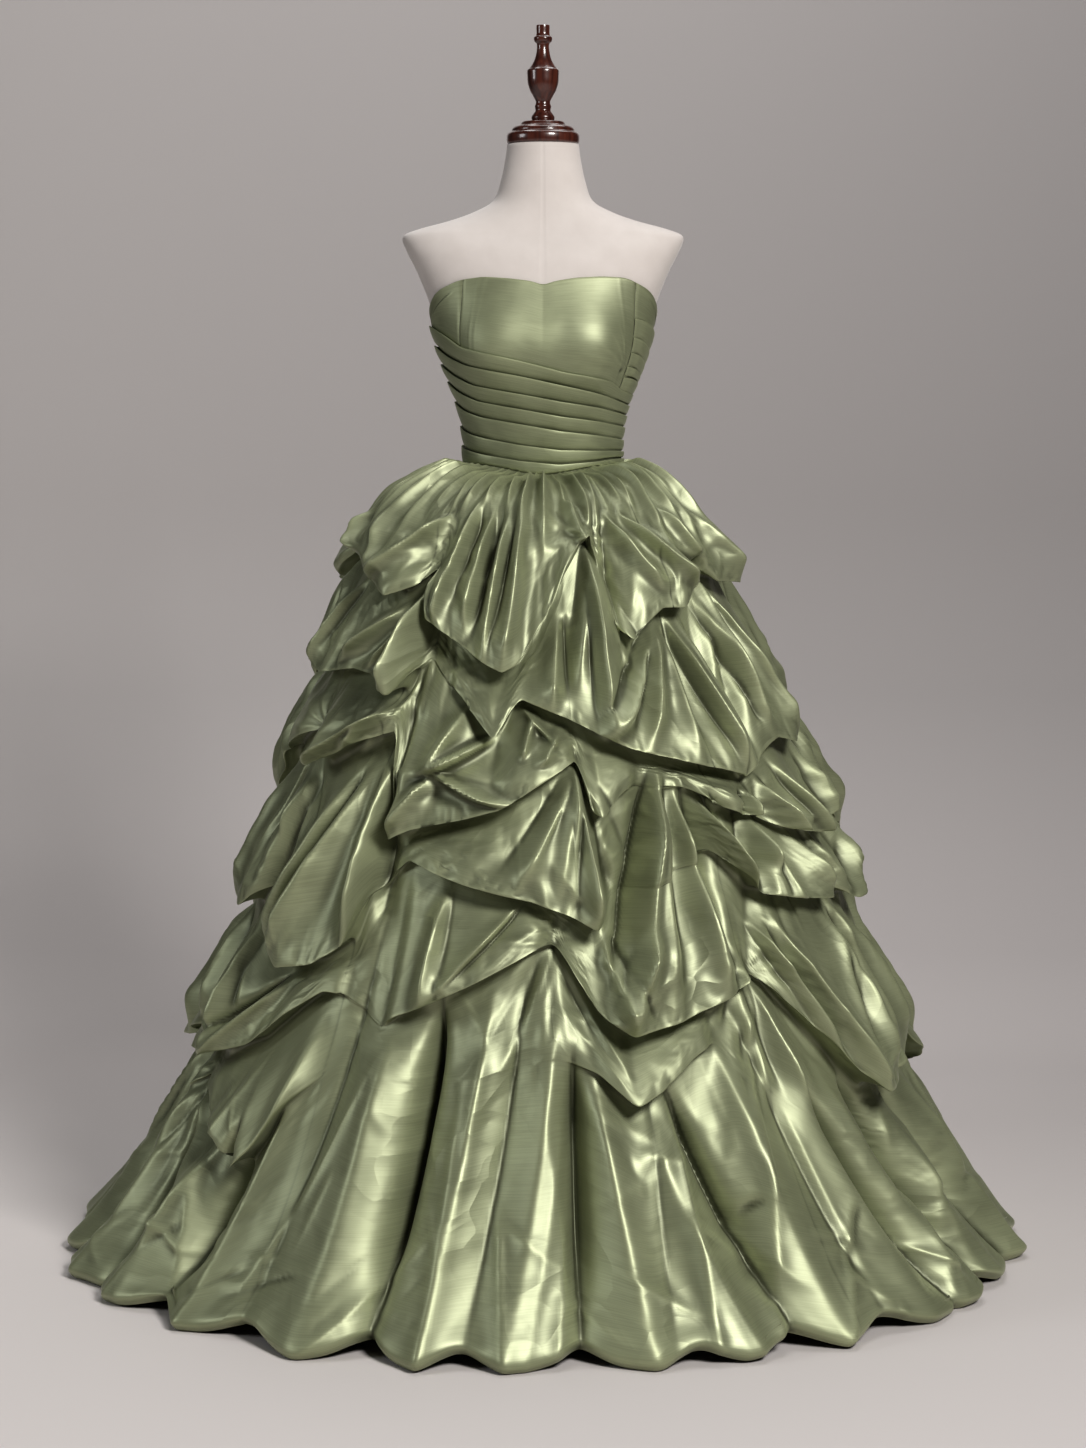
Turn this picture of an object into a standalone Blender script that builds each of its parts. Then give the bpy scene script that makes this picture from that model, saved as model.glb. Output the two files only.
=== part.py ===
"""Strapless ball gown with a picked-up skirt, standing on a limbless dress form.

Metres, +Z up.  The floor is z = 0 and the pole stands on the Z axis.  The gown
looks along -Y: the bearing of a point is 0 at the centre front, +90 degrees at
the right as seen from the front, and 180 at the centre back.
"""
from math import pi, radians

import bmesh
import bpy
import numpy as np

CM = 0.01
MM = 0.001

# ---------------------------------------------------------------- driving sizes
SEAM_GAP = 0.3 * MM        # between two pieces that are sewn together
CLOTH = 2.0 * MM           # wall of the taffeta with its interlining
BODICE_EASE = 1.9 * MM     # from the dress form to the inside of the bodice
BUST_EASE = 2.2 * MM       # more ease where the cups span the bust
WAIST_HEIGHT = 1.108       # waist seam at the side
WAIST_DIP = 15 * MM        # how far the waist seam drops at the centre front
PRINCESS_LEFT = -53.0      # degrees, the princess seams of the bodice
PRINCESS_RIGHT = 60.0
SIDE_BEARING = 96.0        # degrees, the side seams of the bodice
ZIP_HALF_WIDTH = 4.0 * MM  # half of the zip tape that shows between the backs
GATHERS = 22               # soft pleats where the skirt joins the waist
GATHER_RISE = 6.0 * MM
ROLL_WIDTH = 14 * MM       # a swag's lower edge rolls under this far
LEDGE_RISE = 10 * MM       # behind the edge the wall steps in, and up by this much
LEDGE_CALM = 0.65          # share of the folds that is left out at that step's inner end
LEAST_MITRE = 0.6          # limit to how much longer a corner's offset is
LEAST_OUT, TURNS_OUT = 0.45, 60      # how squarely an offset leaves every face, steps to get there
CORNER_FLARE = 14 * MM     # the low corners of the swags stand out
FLARE_SPREAD = 5.0         # degrees to each side of a corner
SWAG_LEAST = 11 * MM       # how far any swag stands out, and how much more
SWAG_PER_TUCK = 0.60       # for each metre of cloth that is taken up in it
MID_FACE, LOW_FACE = 0.64, 0.98   # share of that at mid height and low on a swag
TACK_SINK = 10 * MM        # how deep a hidden tack pulls the cloth in
LEAST_CREST = 12 * MM      # added to a fold's width, so that the wall can follow it
POLE_RADIUS = 16 * MM
TORSO_SIDES = 28
TURNED_SIDES = 16
SLIDER_LENGTH = 11 * MM
SLIDER_HALF = 3.4 * MM     # half of the slider's width
PULL_LENGTH = 18 * MM

# ------------------------------------------------------------------ dress form
# height, half width, depth to the front, depth to the back, squareness
TORSO_SECTIONS = (
    (0.800, 0.118, 0.088, 0.105, 2.0),
    (0.860, 0.150, 0.105, 0.128, 2.1),
    (0.960, 0.150, 0.104, 0.122, 2.1),
    (1.050, 0.119, 0.088, 0.092, 2.1),
    (1.110, 0.1065, 0.082, 0.078, 2.1),
    (1.140, 0.1055, 0.084, 0.078, 2.1),
    (1.170, 0.1090, 0.090, 0.080, 2.1),
    (1.200, 0.1170, 0.097, 0.084, 2.1),
    (1.230, 0.1290, 0.104, 0.088, 2.1),
    (1.265, 0.1420, 0.109, 0.092, 2.1),
    (1.300, 0.1510, 0.109, 0.096, 2.1),
    (1.335, 0.1600, 0.102, 0.099, 2.2),
    (1.375, 0.1760, 0.092, 0.098, 2.4),
    (1.405, 0.1910, 0.080, 0.092, 2.6),
    (1.424, 0.1960, 0.068, 0.084, 2.6),
    (1.434, 0.1760, 0.063, 0.078, 2.4),
    (1.446, 0.1320, 0.059, 0.071, 2.2),
    (1.458, 0.0980, 0.056, 0.065, 2.1),
    (1.474, 0.0700, 0.054, 0.060, 2.0),
    (1.500, 0.0595, 0.053, 0.057, 2.0),
    (1.530, 0.0530, 0.051, 0.053, 2.0),
    (1.552, 0.0500, 0.050, 0.050, 2.0),
)
BUST_HEIGHT = 1.268
BUST_BEARING = 33.0
BUST_RISE = 0.020

# turned wood: height, radius
NECK_CAP_PROFILE = (
    (1.5525, 0.0470), (1.5545, 0.0500), (1.5610, 0.0508), (1.5665, 0.0495),
    (1.5700, 0.0440), (1.5730, 0.0435), (1.5765, 0.0398), (1.5785, 0.0320),
    (1.5815, 0.0304), (1.5832, 0.0290),
)
FINIAL_PROFILE = (
    (1.5835, 0.0148), (1.5870, 0.0160), (1.5905, 0.0160), (1.5950, 0.0132),
    (1.5990, 0.0106), (1.6045, 0.0114), (1.6080, 0.0103), (1.6120, 0.0103),
    (1.6192, 0.0142), (1.6260, 0.0180), (1.6360, 0.0212), (1.6470, 0.0220),
    (1.6540, 0.0220), (1.6565, 0.0196), (1.6621, 0.0155), (1.6704, 0.0113),
    (1.6814, 0.0088), (1.6900, 0.0086), (1.6935, 0.0118), (1.6990, 0.0128),
    (1.7030, 0.0094), (1.7150, 0.0092), (1.7160, 0.0082),
)
COLLAR_PROFILE = ((0.7680, 0.0240), (0.7720, 0.0290), (0.7940, 0.0290), (0.7997, 0.0330))
FOOT_PROFILE = ((0.0, 0.198), (0.003, 0.200), (0.010, 0.200), (0.016, 0.190),
                (0.020, 0.034), (0.030, 0.030), (0.032, 0.026))

# -------------------------------------------------------------------- bodice
# bearing, height of the top edge
NECKLINE = (
    (-180, 1.262), (-150, 1.266), (-120, 1.280), (-96, 1.302), (-84, 1.320),
    (-76, 1.333), (-68, 1.347), (-55, 1.3610), (-42, 1.3650), (-25, 1.3625),
    (-10, 1.359), (0, 1.3535), (10, 1.359), (25, 1.3635), (42, 1.3655), (55, 1.3640),
    (68, 1.348), (76, 1.334), (84, 1.320), (96, 1.302), (120, 1.280), (150, 1.266),
    (180, 1.262),
)
# bearing, height where the drape's top fold lies
DRAPE_TOP = (
    (-96, 1.2950), (-84, 1.3020), (-77, 1.2990), (-66, 1.2870), (-50, 1.2690),
    (-20, 1.2530), (14, 1.2340), (47, 1.2220), (60, 1.2120), (68, 1.2050), (96, 1.2040),
)
FRONT_COLUMNS = 13         # grid columns of the centre front, and of each side front
SIDE_COLUMNS = 7
DRAPE_PLEATS = 8
PLEAT_RISE = 2.6 * MM
SIDE_PLEATS = 5
SIDE_PLEAT_TILT = 0.030    # how far the short pleats climb to the side seam

# --------------------------------------------------------------------- skirt
# height, radius of the skirt under its swags
SKIRT_BODY = (
    (1.000, 0.248), (0.950, 0.266), (0.900, 0.287), (0.850, 0.303),
    (0.780, 0.334), (0.700, 0.366), (0.620, 0.394), (0.550, 0.417),
    (0.480, 0.440), (0.400, 0.467), (0.300, 0.505), (0.200, 0.548),
    (0.100, 0.598), (0.040, 0.638), (0.000, 0.660),
)
# rise above the waist ring, radius: the puff that leaves the waist seam
WAIST_PUFF = ((-0.012, 0.138), (-0.024, 0.168), (-0.046, 0.200), (-0.070, 0.228))
LEFT_LEAN = 0.020          # the left side of the skirt hangs this much closer in

# Rows of swags.  bearing, height of the lower edge in cm,
# length of cloth taken up in the swag in cm (under 1 where the fold dies).
SWAG_ROWS = (
    (   # under the waist
        (-180, 93, 4.0), (-166, 99, 1.0), (-158, 91, 5.0), (-140, 91.5, 5.0),
        (-120, 99, 1.0), (-112, 94, 4.0), (-98, 95, 4.0), (-88, 97, 3.5),
        (-82, 100, 1.0), (-72, 99, 2.5), (-56, 96, 4.0), (-44, 93.5, 4.5),
        (-37, 95, 3.0), (-33, 97.5, 1.0), (-31, 91, 4.5), (-28, 90, 5.0),
        (-13, 85, 5.5), (-9, 84, 5.5), (-6, 85, 5.5), (0, 90.5, 5.0),
        (6, 96.5, 4.0), (11, 100.5, 2.5), (13.5, 101.5, 1.0), (15.5, 87, 0.5),
        (17, 85.5, 1.5), (22, 88, 3.5), (27, 90, 4.5), (33, 92, 4.5),
        (40, 92, 4.5), (47, 94.5, 4.0), (55, 98, 1.0), (62, 95, 3.5),
        (76, 94.5, 4.0), (88, 97, 3.0), (98, 100, 1.0), (106, 93, 4.0),
        (124, 89, 5.0), (136, 91, 5.0), (150, 99, 1.0), (158, 93, 4.5),
        (172, 91, 4.5), (180, 93, 4.0),
    ),
    (
        (-180, 76, 4.5), (-170, 75, 5.0), (-150, 79, 4.0), (-142, 83, 1.0),
        (-136, 77, 4.0), (-118, 75, 5.0), (-106, 79, 3.5), (-99, 85, 1.0),
        (-92, 83, 3.0), (-84, 84.5, 3.5), (-76, 83, 3.5), (-66, 82.5, 4.0),
        (-52, 83.5, 4.0), (-45, 83, 4.0), (-38, 81.5, 4.5), (-34, 80.5, 4.5),
        (-32, 84, 1.0), (-30, 86, 0.3), (-24, 83, 0.3), (-18, 80, 2.0),
        (-10, 75.5, 4.0), (-7, 79, 3.0), (-5, 80.5, 2.5), (5, 78, 4.0),
        (14, 75, 5.0), (18, 74, 5.0), (30, 72, 5.0), (40, 70.5, 4.5),
        (46.5, 69.5, 1.0), (52, 72, 3.0), (60, 74, 3.5), (66, 73, 3.5),
        (76, 75, 3.5), (84, 77, 3.0), (92, 81, 1.0), (100, 75, 4.0),
        (116, 73, 5.0), (126, 77, 4.0), (135, 83, 1.0), (144, 75, 4.5),
        (160, 73.5, 5.0), (172, 75, 4.5), (180, 76, 4.5),
    ),
    (
        (-180, 60, 5.0), (-168, 61, 4.0), (-160, 67, 1.0), (-152, 61, 4.0),
        (-138, 58, 5.0), (-124, 62, 4.0), (-118, 67, 1.0), (-112, 61, 4.0),
        (-100, 65, 4.0), (-94, 70, 2.5), (-84, 71.5, 3.5), (-72, 73.5, 3.0),
        (-65, 75, 1.0), (-60, 71.5, 4.0), (-55, 70.5, 5.0), (-47, 72.5, 5.0),
        (-40, 74.5, 4.5), (-33, 76, 3.0), (-31.5, 63, 1.5), (-30, 62, 4.0),
        (-25, 63.5, 5.0), (-15, 65, 5.5), (-8, 66.5, 5.5), (-1, 69.5, 5.0),
        (5, 72, 3.0), (7, 72.7, 1.0), (9, 66.5, 2.5), (11, 65.5, 4.0),
        (15, 68, 3.5), (20, 70, 1.0), (23, 68.5, 0.5), (30, 69, 1.5),
        (34, 67, 3.0), (39, 65.5, 4.0), (43, 64.5, 3.5), (47, 64.5, 1.0),
        (54, 62, 3.0), (64, 61, 3.5), (76, 62, 3.5), (85, 66, 1.0),
        (94, 60, 4.0), (104, 58, 5.0), (114, 62, 4.0), (120, 67, 1.0),
        (127, 60, 4.0), (142, 58, 5.0), (154, 62, 4.0), (160, 67, 1.0),
        (168, 61, 4.0), (180, 60, 5.0),
    ),
    (
        (-180, 43, 5.0), (-164, 42, 5.0), (-150, 46, 4.0), (-142, 51, 1.0),
        (-134, 44, 4.0), (-120, 41, 5.0), (-108, 46, 4.0), (-102, 51, 1.0),
        (-94, 50, 3.0), (-84, 51, 3.5), (-72, 50, 3.5), (-64, 54, 1.0),
        (-57, 48, 4.0), (-48, 44.5, 5.0), (-41, 45.5, 5.0), (-35, 48.5, 4.5),
        (-33, 55, 1.0), (-30, 57.5, 0.8), (-26, 59.5, 2.0), (-21, 58.5, 4.0),
        (-14, 57, 5.0), (-2, 55, 5.0), (5, 53, 4.5), (9, 51.3, 4.0),
        (10.5, 53, 1.0), (13, 56, 0.3), (22, 58, 0.3), (30, 60, 0.5),
        (34, 60.5, 1.5), (38, 57.5, 4.0), (42, 54.5, 5.0), (50, 53.3, 5.0),
        (60, 52.5, 4.5), (65, 54, 1.0), (74, 51, 3.5), (84, 52, 3.5),
        (92, 55, 1.0), (106, 45, 4.0), (122, 41, 5.0), (134, 46, 4.0),
        (140, 51, 1.0), (148, 44, 4.0), (166, 41.5, 5.0), (180, 43, 5.0),
    ),
    (
        (-180, 25, 4.5), (-168, 27, 4.0), (-160, 33, 1.0), (-150, 26, 4.0),
        (-138, 23, 4.5), (-126, 27, 4.0), (-119, 33, 1.0), (-110, 26, 4.0),
        (-98, 28, 4.0), (-88, 31, 3.5), (-78, 33, 1.0), (-70, 31, 4.0),
        (-63, 31, 4.5), (-52, 34, 5.0), (-45, 38.5, 4.5), (-39, 42, 2.0),
        (-35, 42, 0.5), (-27, 39, 0.3), (-22, 40.5, 2.0), (-19, 41.5, 4.5),
        (-10, 45, 5.0), (-1, 49, 3.5), (2, 49.5, 1.0), (5, 45.5, 3.0),
        (9, 41, 4.5), (13, 38.5, 5.5), (20, 39.5, 5.5), (28, 41.5, 5.0),
        (34, 43, 3.5), (37.5, 44.5, 1.0), (40, 42.5, 2.5), (44, 39, 3.5),
        (50, 33, 4.5), (56, 27.5, 5.0), (62, 28, 5.0), (70, 29.5, 4.0),
        (78, 31, 3.5), (86, 34, 1.0), (94, 27, 4.0), (104, 23, 4.5),
        (112, 27, 4.0), (119, 33, 1.0), (128, 26, 4.0), (142, 22, 4.5),
        (154, 27, 4.0), (161, 33, 1.0), (170, 27, 4.0), (180, 25, 4.5),
    ),
)
# Long folds that stand out from the skirt.  bearing and height where the fold
# starts, bearing and height where it ends, rise, width at both ends (cm).
LONG_FOLDS = (
    (-150, 36, -157, 0, 2.6, 2, 7), (-137, 34, -137, 0, 2.8, 3, 8),
    (-120, 36, -119, 0, 2.6, 2, 7), (-104, 36, -101, 0, 2.4, 3, 8),
    (-84, 36, -84, 0, 2.2, 3, 6), (-70, 34, -70, 0, 2.6, 3, 7),
    (-57, 22, -56, 0, 2.0, 3, 6), (-38, 42, -44, 0, 2.4, 2, 6),
    (-24, 42, -27, 0, 3.2, 3, 9), (-8, 46, -13, 0, 2.8, 2, 6),
    (3, 45, -4, 0, 2.6, 2, 6), (7, 36, 12, 0, 2.8, 2, 7),
    (14, 32, 22, 0, 2.8, 3, 7), (27, 40, 34, 0, 2.8, 3, 8),
    (38, 44, 48, 0, 3.0, 3, 8), (46, 34, 58, 0, 2.4, 2, 6),
    (60, 26, 68, 0, 2.4, 3, 6), (76, 28, 80, 0, 2.2, 3, 7),
    (96, 32, 93, 0, 2.6, 3, 7), (112, 34, 108, 0, 2.8, 3, 8),
    (124, 34, 123, 0, 2.4, 3, 7), (142, 30, 139, 0, 2.8, 3, 8),
    (160, 36, 157, 0, 2.6, 3, 7), (176, 34, 174, 0, 2.8, 3, 8),
    (-168, 32, -171, 0, 2.4, 3, 7),
)
# Folds on the swags themselves, in the same columns.
SWAG_FOLDS = (
    (-33, 105, -52, 96, 1.8, 1, 3), (-60, 104, -54, 97, 1.2, 1, 3),
    (-78, 104, -70, 99, 1.2, 1, 3), (-24, 107, -28, 91, 1.6, 1, 2),
    (-18, 106, -20, 90, 1.4, 1, 2), (-12, 106, -14, 86, 1.6, 1, 2),
    (-6, 106, -9, 85, 1.6, 1, 3), (8, 106, 12, 101, 1.4, 1, 2),
    (13, 100, 14, 76, 2.2, 1, 3), (21, 105, 33, 95, 1.8, 1, 3),
    (28, 105, 46, 95, 1.8, 1, 3), (45, 105, 55, 98, 1.4, 1, 3),
    (60, 105, 74, 96, 1.4, 1, 4),
    (33, 91, 15, 76, 2.0, 1, 3), (33, 91, 23, 75, 1.6, 1, 3),
    (34, 91, 33, 73, 1.3, 1, 3), (37, 92, 45, 71, 2.2, 1, 3),
    (41, 92, 48, 71, 1.4, 1, 3), (50, 94, 58, 75, 1.6, 1, 4),
    (56, 97, 70, 75, 1.6, 1, 4), (4, 92, 2, 79, 1.2, 1, 3),
    (-40, 93, -56, 85, 1.6, 1, 3), (-34, 95, -36, 82, 1.8, 1, 2),
    (-64, 96, -74, 84, 1.4, 1, 3), (-34, 92, -46, 84, 1.2, 1, 2),
    (-17, 80, -23, 71, 2.0, 1, 3), (-10, 76, -22, 71, 1.8, 1, 2),
    (-22, 71, -9, 67, 1.6, 1, 3), (-22, 71, -30, 63, 1.4, 1, 3),
    (-6, 80, 2, 75, 1.0, 1, 1), (-2, 79, -4, 73, 1.0, 1, 1),
    (4, 77, 0, 72, 1.0, 1, 2), (7, 72, 10, 52, 2.0, 1, 2),
    (7, 72, -4, 57, 1.0, 1, 4), (7, 72, 3, 56, 1.2, 1, 4),
    (-34, 79, -55, 71, 1.8, 1, 3), (-34, 80, -44, 73, 1.4, 1, 3),
    (-34, 74, -35, 50, 2.2, 2, 3), (-38, 73, -50, 48, 2.2, 2, 5),
    (-43, 72, -57, 49, 1.8, 2, 5), (-60, 71, -68, 51, 1.8, 2, 5),
    (-76, 71, -80, 51, 1.8, 2, 5),
    (25, 72, 14, 42, 2.4, 1, 4), (25, 72, 20, 42, 1.8, 1, 4),
    (28, 71, 30, 43, 2.0, 1, 4), (32, 69, 40, 56, 2.0, 1, 2),
    (46, 69, 46, 58, 1.8, 1, 2), (50, 70, 61, 54, 2.0, 1, 3),
    (58, 72, 70, 54, 1.6, 1, 4), (76, 73, 80, 54, 1.6, 1, 4),
    (40, 52, 50, 33, 1.8, 1, 3), (44, 53, 56, 29, 2.0, 1, 3),
    (62, 51, 64, 30, 2.0, 1, 4), (74, 51, 78, 32, 1.8, 1, 4),
    (-62, 50, -63, 32, 1.8, 1, 3), (-46, 44, -62, 31, 1.6, 1, 3),
    (-84, 50, -82, 33, 1.6, 1, 4), (-18, 57, -19, 42, 1.4, 1, 2),
    (-4, 55, -18, 42, 1.4, 1, 3), (10, 51, 13, 39, 1.6, 1, 2),
    (18, 52, 13, 39, 1.4, 1, 3), (36, 47, 34, 36, 1.2, 1, 2),
    (-116, 98, -104, 80, 1.8, 1, 5), (-130, 91, -120, 76, 1.6, 1, 4),
    (-160, 97, -170, 76, 1.8, 1, 5), (-148, 90, -152, 80, 1.4, 1, 4),
    (98, 98, 112, 75, 1.8, 1, 5), (126, 90, 118, 74, 1.6, 1, 4),
    (150, 97, 160, 75, 1.8, 1, 5), (150, 96, 144, 77, 1.6, 1, 4),
    (-142, 82, -138, 60, 2.0, 1, 5), (-142, 82, -152, 63, 1.6, 1, 5),
    (-99, 84, -110, 63, 1.8, 1, 5), (-172, 76, -178, 61, 1.6, 1, 5),
    (135, 82, 142, 60, 2.0, 1, 5), (135, 82, 128, 61, 1.6, 1, 5),
    (92, 80, 104, 60, 1.8, 1, 5), (172, 76, 178, 61, 1.6, 1, 5),
    (-160, 66, -164, 44, 2.0, 1, 5), (-118, 66, -120, 43, 2.0, 1, 5),
    (-160, 66, -150, 48, 1.6, 1, 5), (-94, 69, -96, 52, 1.6, 1, 5),
    (120, 66, 122, 43, 2.0, 1, 5), (160, 66, 166, 43, 2.0, 1, 5),
    (120, 66, 108, 47, 1.6, 1, 5), (160, 66, 148, 46, 1.6, 1, 5),
    (-142, 50, -138, 25, 2.0, 1, 5), (-102, 50, -98, 30, 2.0, 1, 5),
    (140, 50, 142, 24, 2.0, 1, 5), (98, 52, 104, 25, 2.0, 1, 5),
)
HEM_LIFTS = (    # bearing, rise of the hem off the floor in cm, half width in degrees
    (-150, 1.2, 5), (-112, 1.4, 5), (-77, 1.4, 4), (-50, 1.6, 4), (-35, 1.8, 4),
    (-20, 1.8, 3), (-9, 1.6, 3), (4, 1.6, 3), (17, 1.6, 3), (28, 1.8, 4),
    (41, 1.8, 4), (63, 1.6, 4), (86, 1.2, 4), (104, 1.4, 5),
    (146, 1.4, 5), (180, 1.2, 5),
)
PANELS = (       # name, first and last column
    ("skirt_front", -12, 12), ("skirt_side_right", 12, 30),
    ("skirt_back_right", 30, 44), ("skirt_back_left", -44, -30),
    ("skirt_side_left", -30, -12),
)
FRONT_STEP = 3.0           # degrees a column, within 72 degrees of the front
BACK_STEP = 5.4            # degrees a column, behind that


# ------------------------------------------------------------------- helpers
def smooth(t):
    """0 to 1 with soft ends."""
    t = np.clip(t, 0.0, 1.0)
    return t * t * (3.0 - 2.0 * t)


def curve_through(rows, column, at):
    """Straight runs between a table's rows, eased over a few degrees at the corners."""
    keys = np.array([row[0] for row in rows], float)
    values = np.array([row[column] for row in rows], float)
    ease = 1.0
    near = [np.interp(at + side * ease, keys, values) for side in (-1, 0, 0, 1)]
    return sum(near) / 4.0


def wrap(bearing):
    """The same bearing between -180 and 180 degrees."""
    return (np.asarray(bearing) + 180.0) % 360.0 - 180.0


def place(bearing, radius, height):
    """World points from bearings in degrees, radii and heights."""
    turn = np.radians(bearing)
    return np.stack([radius * np.sin(turn), -radius * np.cos(turn), height + 0 * turn], -1)


def paint(name, colour, roughness, metallic=0.0):
    """A plain Principled material."""
    material = bpy.data.materials.new(name)
    material.use_nodes = True
    shader = material.node_tree.nodes["Principled BSDF"]
    shader.inputs["Base Color"].default_value = (*colour, 1.0)
    shader.inputs["Roughness"].default_value = roughness
    shader.inputs["Metallic"].default_value = metallic
    return material


def add_object(name, work, material, parent=None):
    """Turn a bmesh into a named object with faces pointing out."""
    bmesh.ops.recalc_face_normals(work, faces=work.faces)
    mesh = bpy.data.meshes.new(name)
    work.to_mesh(mesh)
    work.free()
    mesh.materials.append(material)
    mesh.shade_smooth()
    mesh.set_sharp_from_angle(angle=radians(50))
    item = bpy.data.objects.new(name, mesh)
    bpy.context.scene.collection.objects.link(item)
    if parent is not None:
        item.parent = parent
    return item


def quads_between(work, ring_a, ring_b):
    """Faces between two equal rows of vertices."""
    for a, b, c, d in zip(ring_a[:-1], ring_a[1:], ring_b[1:], ring_b[:-1]):
        work.faces.new((a, b, c, d))


def wall(name, outer, inner, material, falling=None):
    """A closed wall from two grids of points [row, column, xyz].

    falling says for each quad whether its diagonal runs from its first corner.
    """
    work = bmesh.new()
    sides = []
    for grid in (outer, inner):
        sides.append([[work.verts.new(p) for p in row] for row in grid])
    out, back = sides
    for side in sides:
        for i, (row_a, row_b) in enumerate(zip(side[:-1], side[1:])):
            if falling is None:
                quads_between(work, row_a, row_b)
                continue
            for a, b, c, d, first in zip(row_a[:-1], row_a[1:], row_b[1:], row_b[:-1], falling[i]):
                for three in ((a, b, c), (a, c, d)) if first else ((a, b, d), (b, c, d)):
                    work.faces.new(three)
    quads_between(work, out[0], back[0])
    quads_between(work, out[-1], back[-1])
    quads_between(work, [r[0] for r in out], [r[0] for r in back])
    quads_between(work, [r[-1] for r in out], [r[-1] for r in back])
    bmesh.ops.triangulate(work, faces=work.faces)
    return add_object(name, work, material)


def turned(name, profile, material, sides=TURNED_SIDES):
    """A solid turned about the Z axis from (height, radius) rows, closed at both ends."""
    work = bmesh.new()
    rings = []
    for height, radius in profile:
        bearings = np.arange(sides) * 360.0 / sides
        rings.append([work.verts.new(p) for p in place(bearings, radius, height)])
    for ring_a, ring_b in zip(rings[:-1], rings[1:]):
        quads_between(work, ring_a + ring_a[:1], ring_b + ring_b[:1])
    work.faces.new(rings[0])
    work.faces.new(rings[-1])
    return add_object(name, work, material)


# ---------------------------------------------------------------- dress form
def torso_radius(bearing, height):
    """Distance from the axis to the dress form."""
    return plain_radius(bearing, height) + BUST_RISE * cup_share(bearing, height)


def cup_share(bearing, height):
    """1 at the fullest point of each side of the bust, dying out round it."""
    share = np.exp(-((np.abs(wrap(bearing)) - BUST_BEARING) / 22.0) ** 2)
    return share * np.exp(-((height - BUST_HEIGHT) / 0.046) ** 2)


def plain_radius(bearing, height):
    """Radius of the dress form without its bust."""
    bearing = wrap(bearing)
    bearing, height = np.broadcast_arrays(np.asarray(bearing, float), height)
    table = np.array(TORSO_SECTIONS)
    half, front, back, power = (np.interp(height, table[:, 0], table[:, i]) for i in range(1, 5))
    turn = np.radians(bearing)
    depth = np.where(np.cos(turn) >= 0, front, back)
    x_part = (np.abs(np.sin(turn)) / half) ** power
    y_part = (np.abs(np.cos(turn)) / depth) ** power
    return (x_part + y_part) ** (-1.0 / power)


def make_torso(material):
    """The linen-covered torso, closed at the neck and under the hips."""
    work = bmesh.new()
    bearings = np.arange(TORSO_SIDES) * 360.0 / TORSO_SIDES
    rings = []
    for section in TORSO_SECTIONS:
        height = section[0]
        points = place(bearings, torso_radius(bearings, height), height)
        rings.append([work.verts.new(p) for p in points])
    for ring_a, ring_b in zip(rings[:-1], rings[1:]):
        quads_between(work, ring_a + ring_a[:1], ring_b + ring_b[:1])
    work.faces.new(rings[0])
    work.faces.new(rings[-1])
    return add_object("form_torso", work, material)


# -------------------------------------------------------------------- bodice
def waist_seam(bearing):
    """Height of the waist seam: level at the back, dipping at the centre front."""
    return WAIST_HEIGHT - WAIST_DIP * np.exp(-(wrap(bearing) / 38.0) ** 2)


def facet_radius(bearing, height):
    """The flat-sided dress form's own radius, so that the bodice clears its facets."""
    step = 360.0 / TORSO_SIDES
    low = np.floor(np.asarray(bearing) / step) * step
    ends = [place(b, torso_radius(b, height), 0.0) for b in (low, low + step)]
    ray = place(bearing, 1.0, 0.0)
    run = ends[1] - ends[0]
    cross = ends[0][..., 0] * run[..., 1] - ends[0][..., 1] * run[..., 0]
    return cross / (ray[..., 0] * run[..., 1] - ray[..., 1] * run[..., 0])


def bodice_radius(bearing, height):
    """Inside of the bodice: just off the dress form."""
    form = np.maximum(torso_radius(bearing, height), facet_radius(bearing, height))
    return form + BODICE_EASE + BUST_EASE * cup_share(bearing, height)


def bodice_piece(name, bearings, rows, raised, material):
    """A bodice wall.  rows: heights [row, column]; raised: extra thickness [row, column]."""
    bearing_grid = np.broadcast_to(bearings, rows.shape)
    inside = bodice_radius(bearing_grid, rows)
    inner = place(bearing_grid, inside, rows)
    outer = place(bearing_grid, inside + CLOTH + raised, rows)
    return wall(name, outer, inner, material)


def spread(first, last, count):
    """Bearings from seam to seam, half a seam gap inside both."""
    gap = np.degrees(0.5 * SEAM_GAP / 0.12)
    return np.linspace(first + gap, last - gap, count)


def pleated_rows(top, bottom, pleats, rise):
    """Two rows a pleat: a proud fold edge, then the sunk line just above the next one."""
    rows, raised = [], []
    for pleat in range(pleats):
        edge = pleat / pleats
        sunk = (pleat + 0.86) / pleats
        rows += [top + (bottom - top) * edge, top + (bottom - top) * sunk]
        raised += [rise, 0.15 * rise]
    rows.append(bottom)
    raised.append(0.5 * rise)
    rows = np.array(rows)
    raised = np.array(raised)[:, None] + 0 * rows
    return rows, raised


def level_rows(top, bottom, count):
    """Evenly spaced rows of heights between two edges."""
    share = np.linspace(0, 1, count)[:, None]
    return top + (bottom - top) * share


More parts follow.
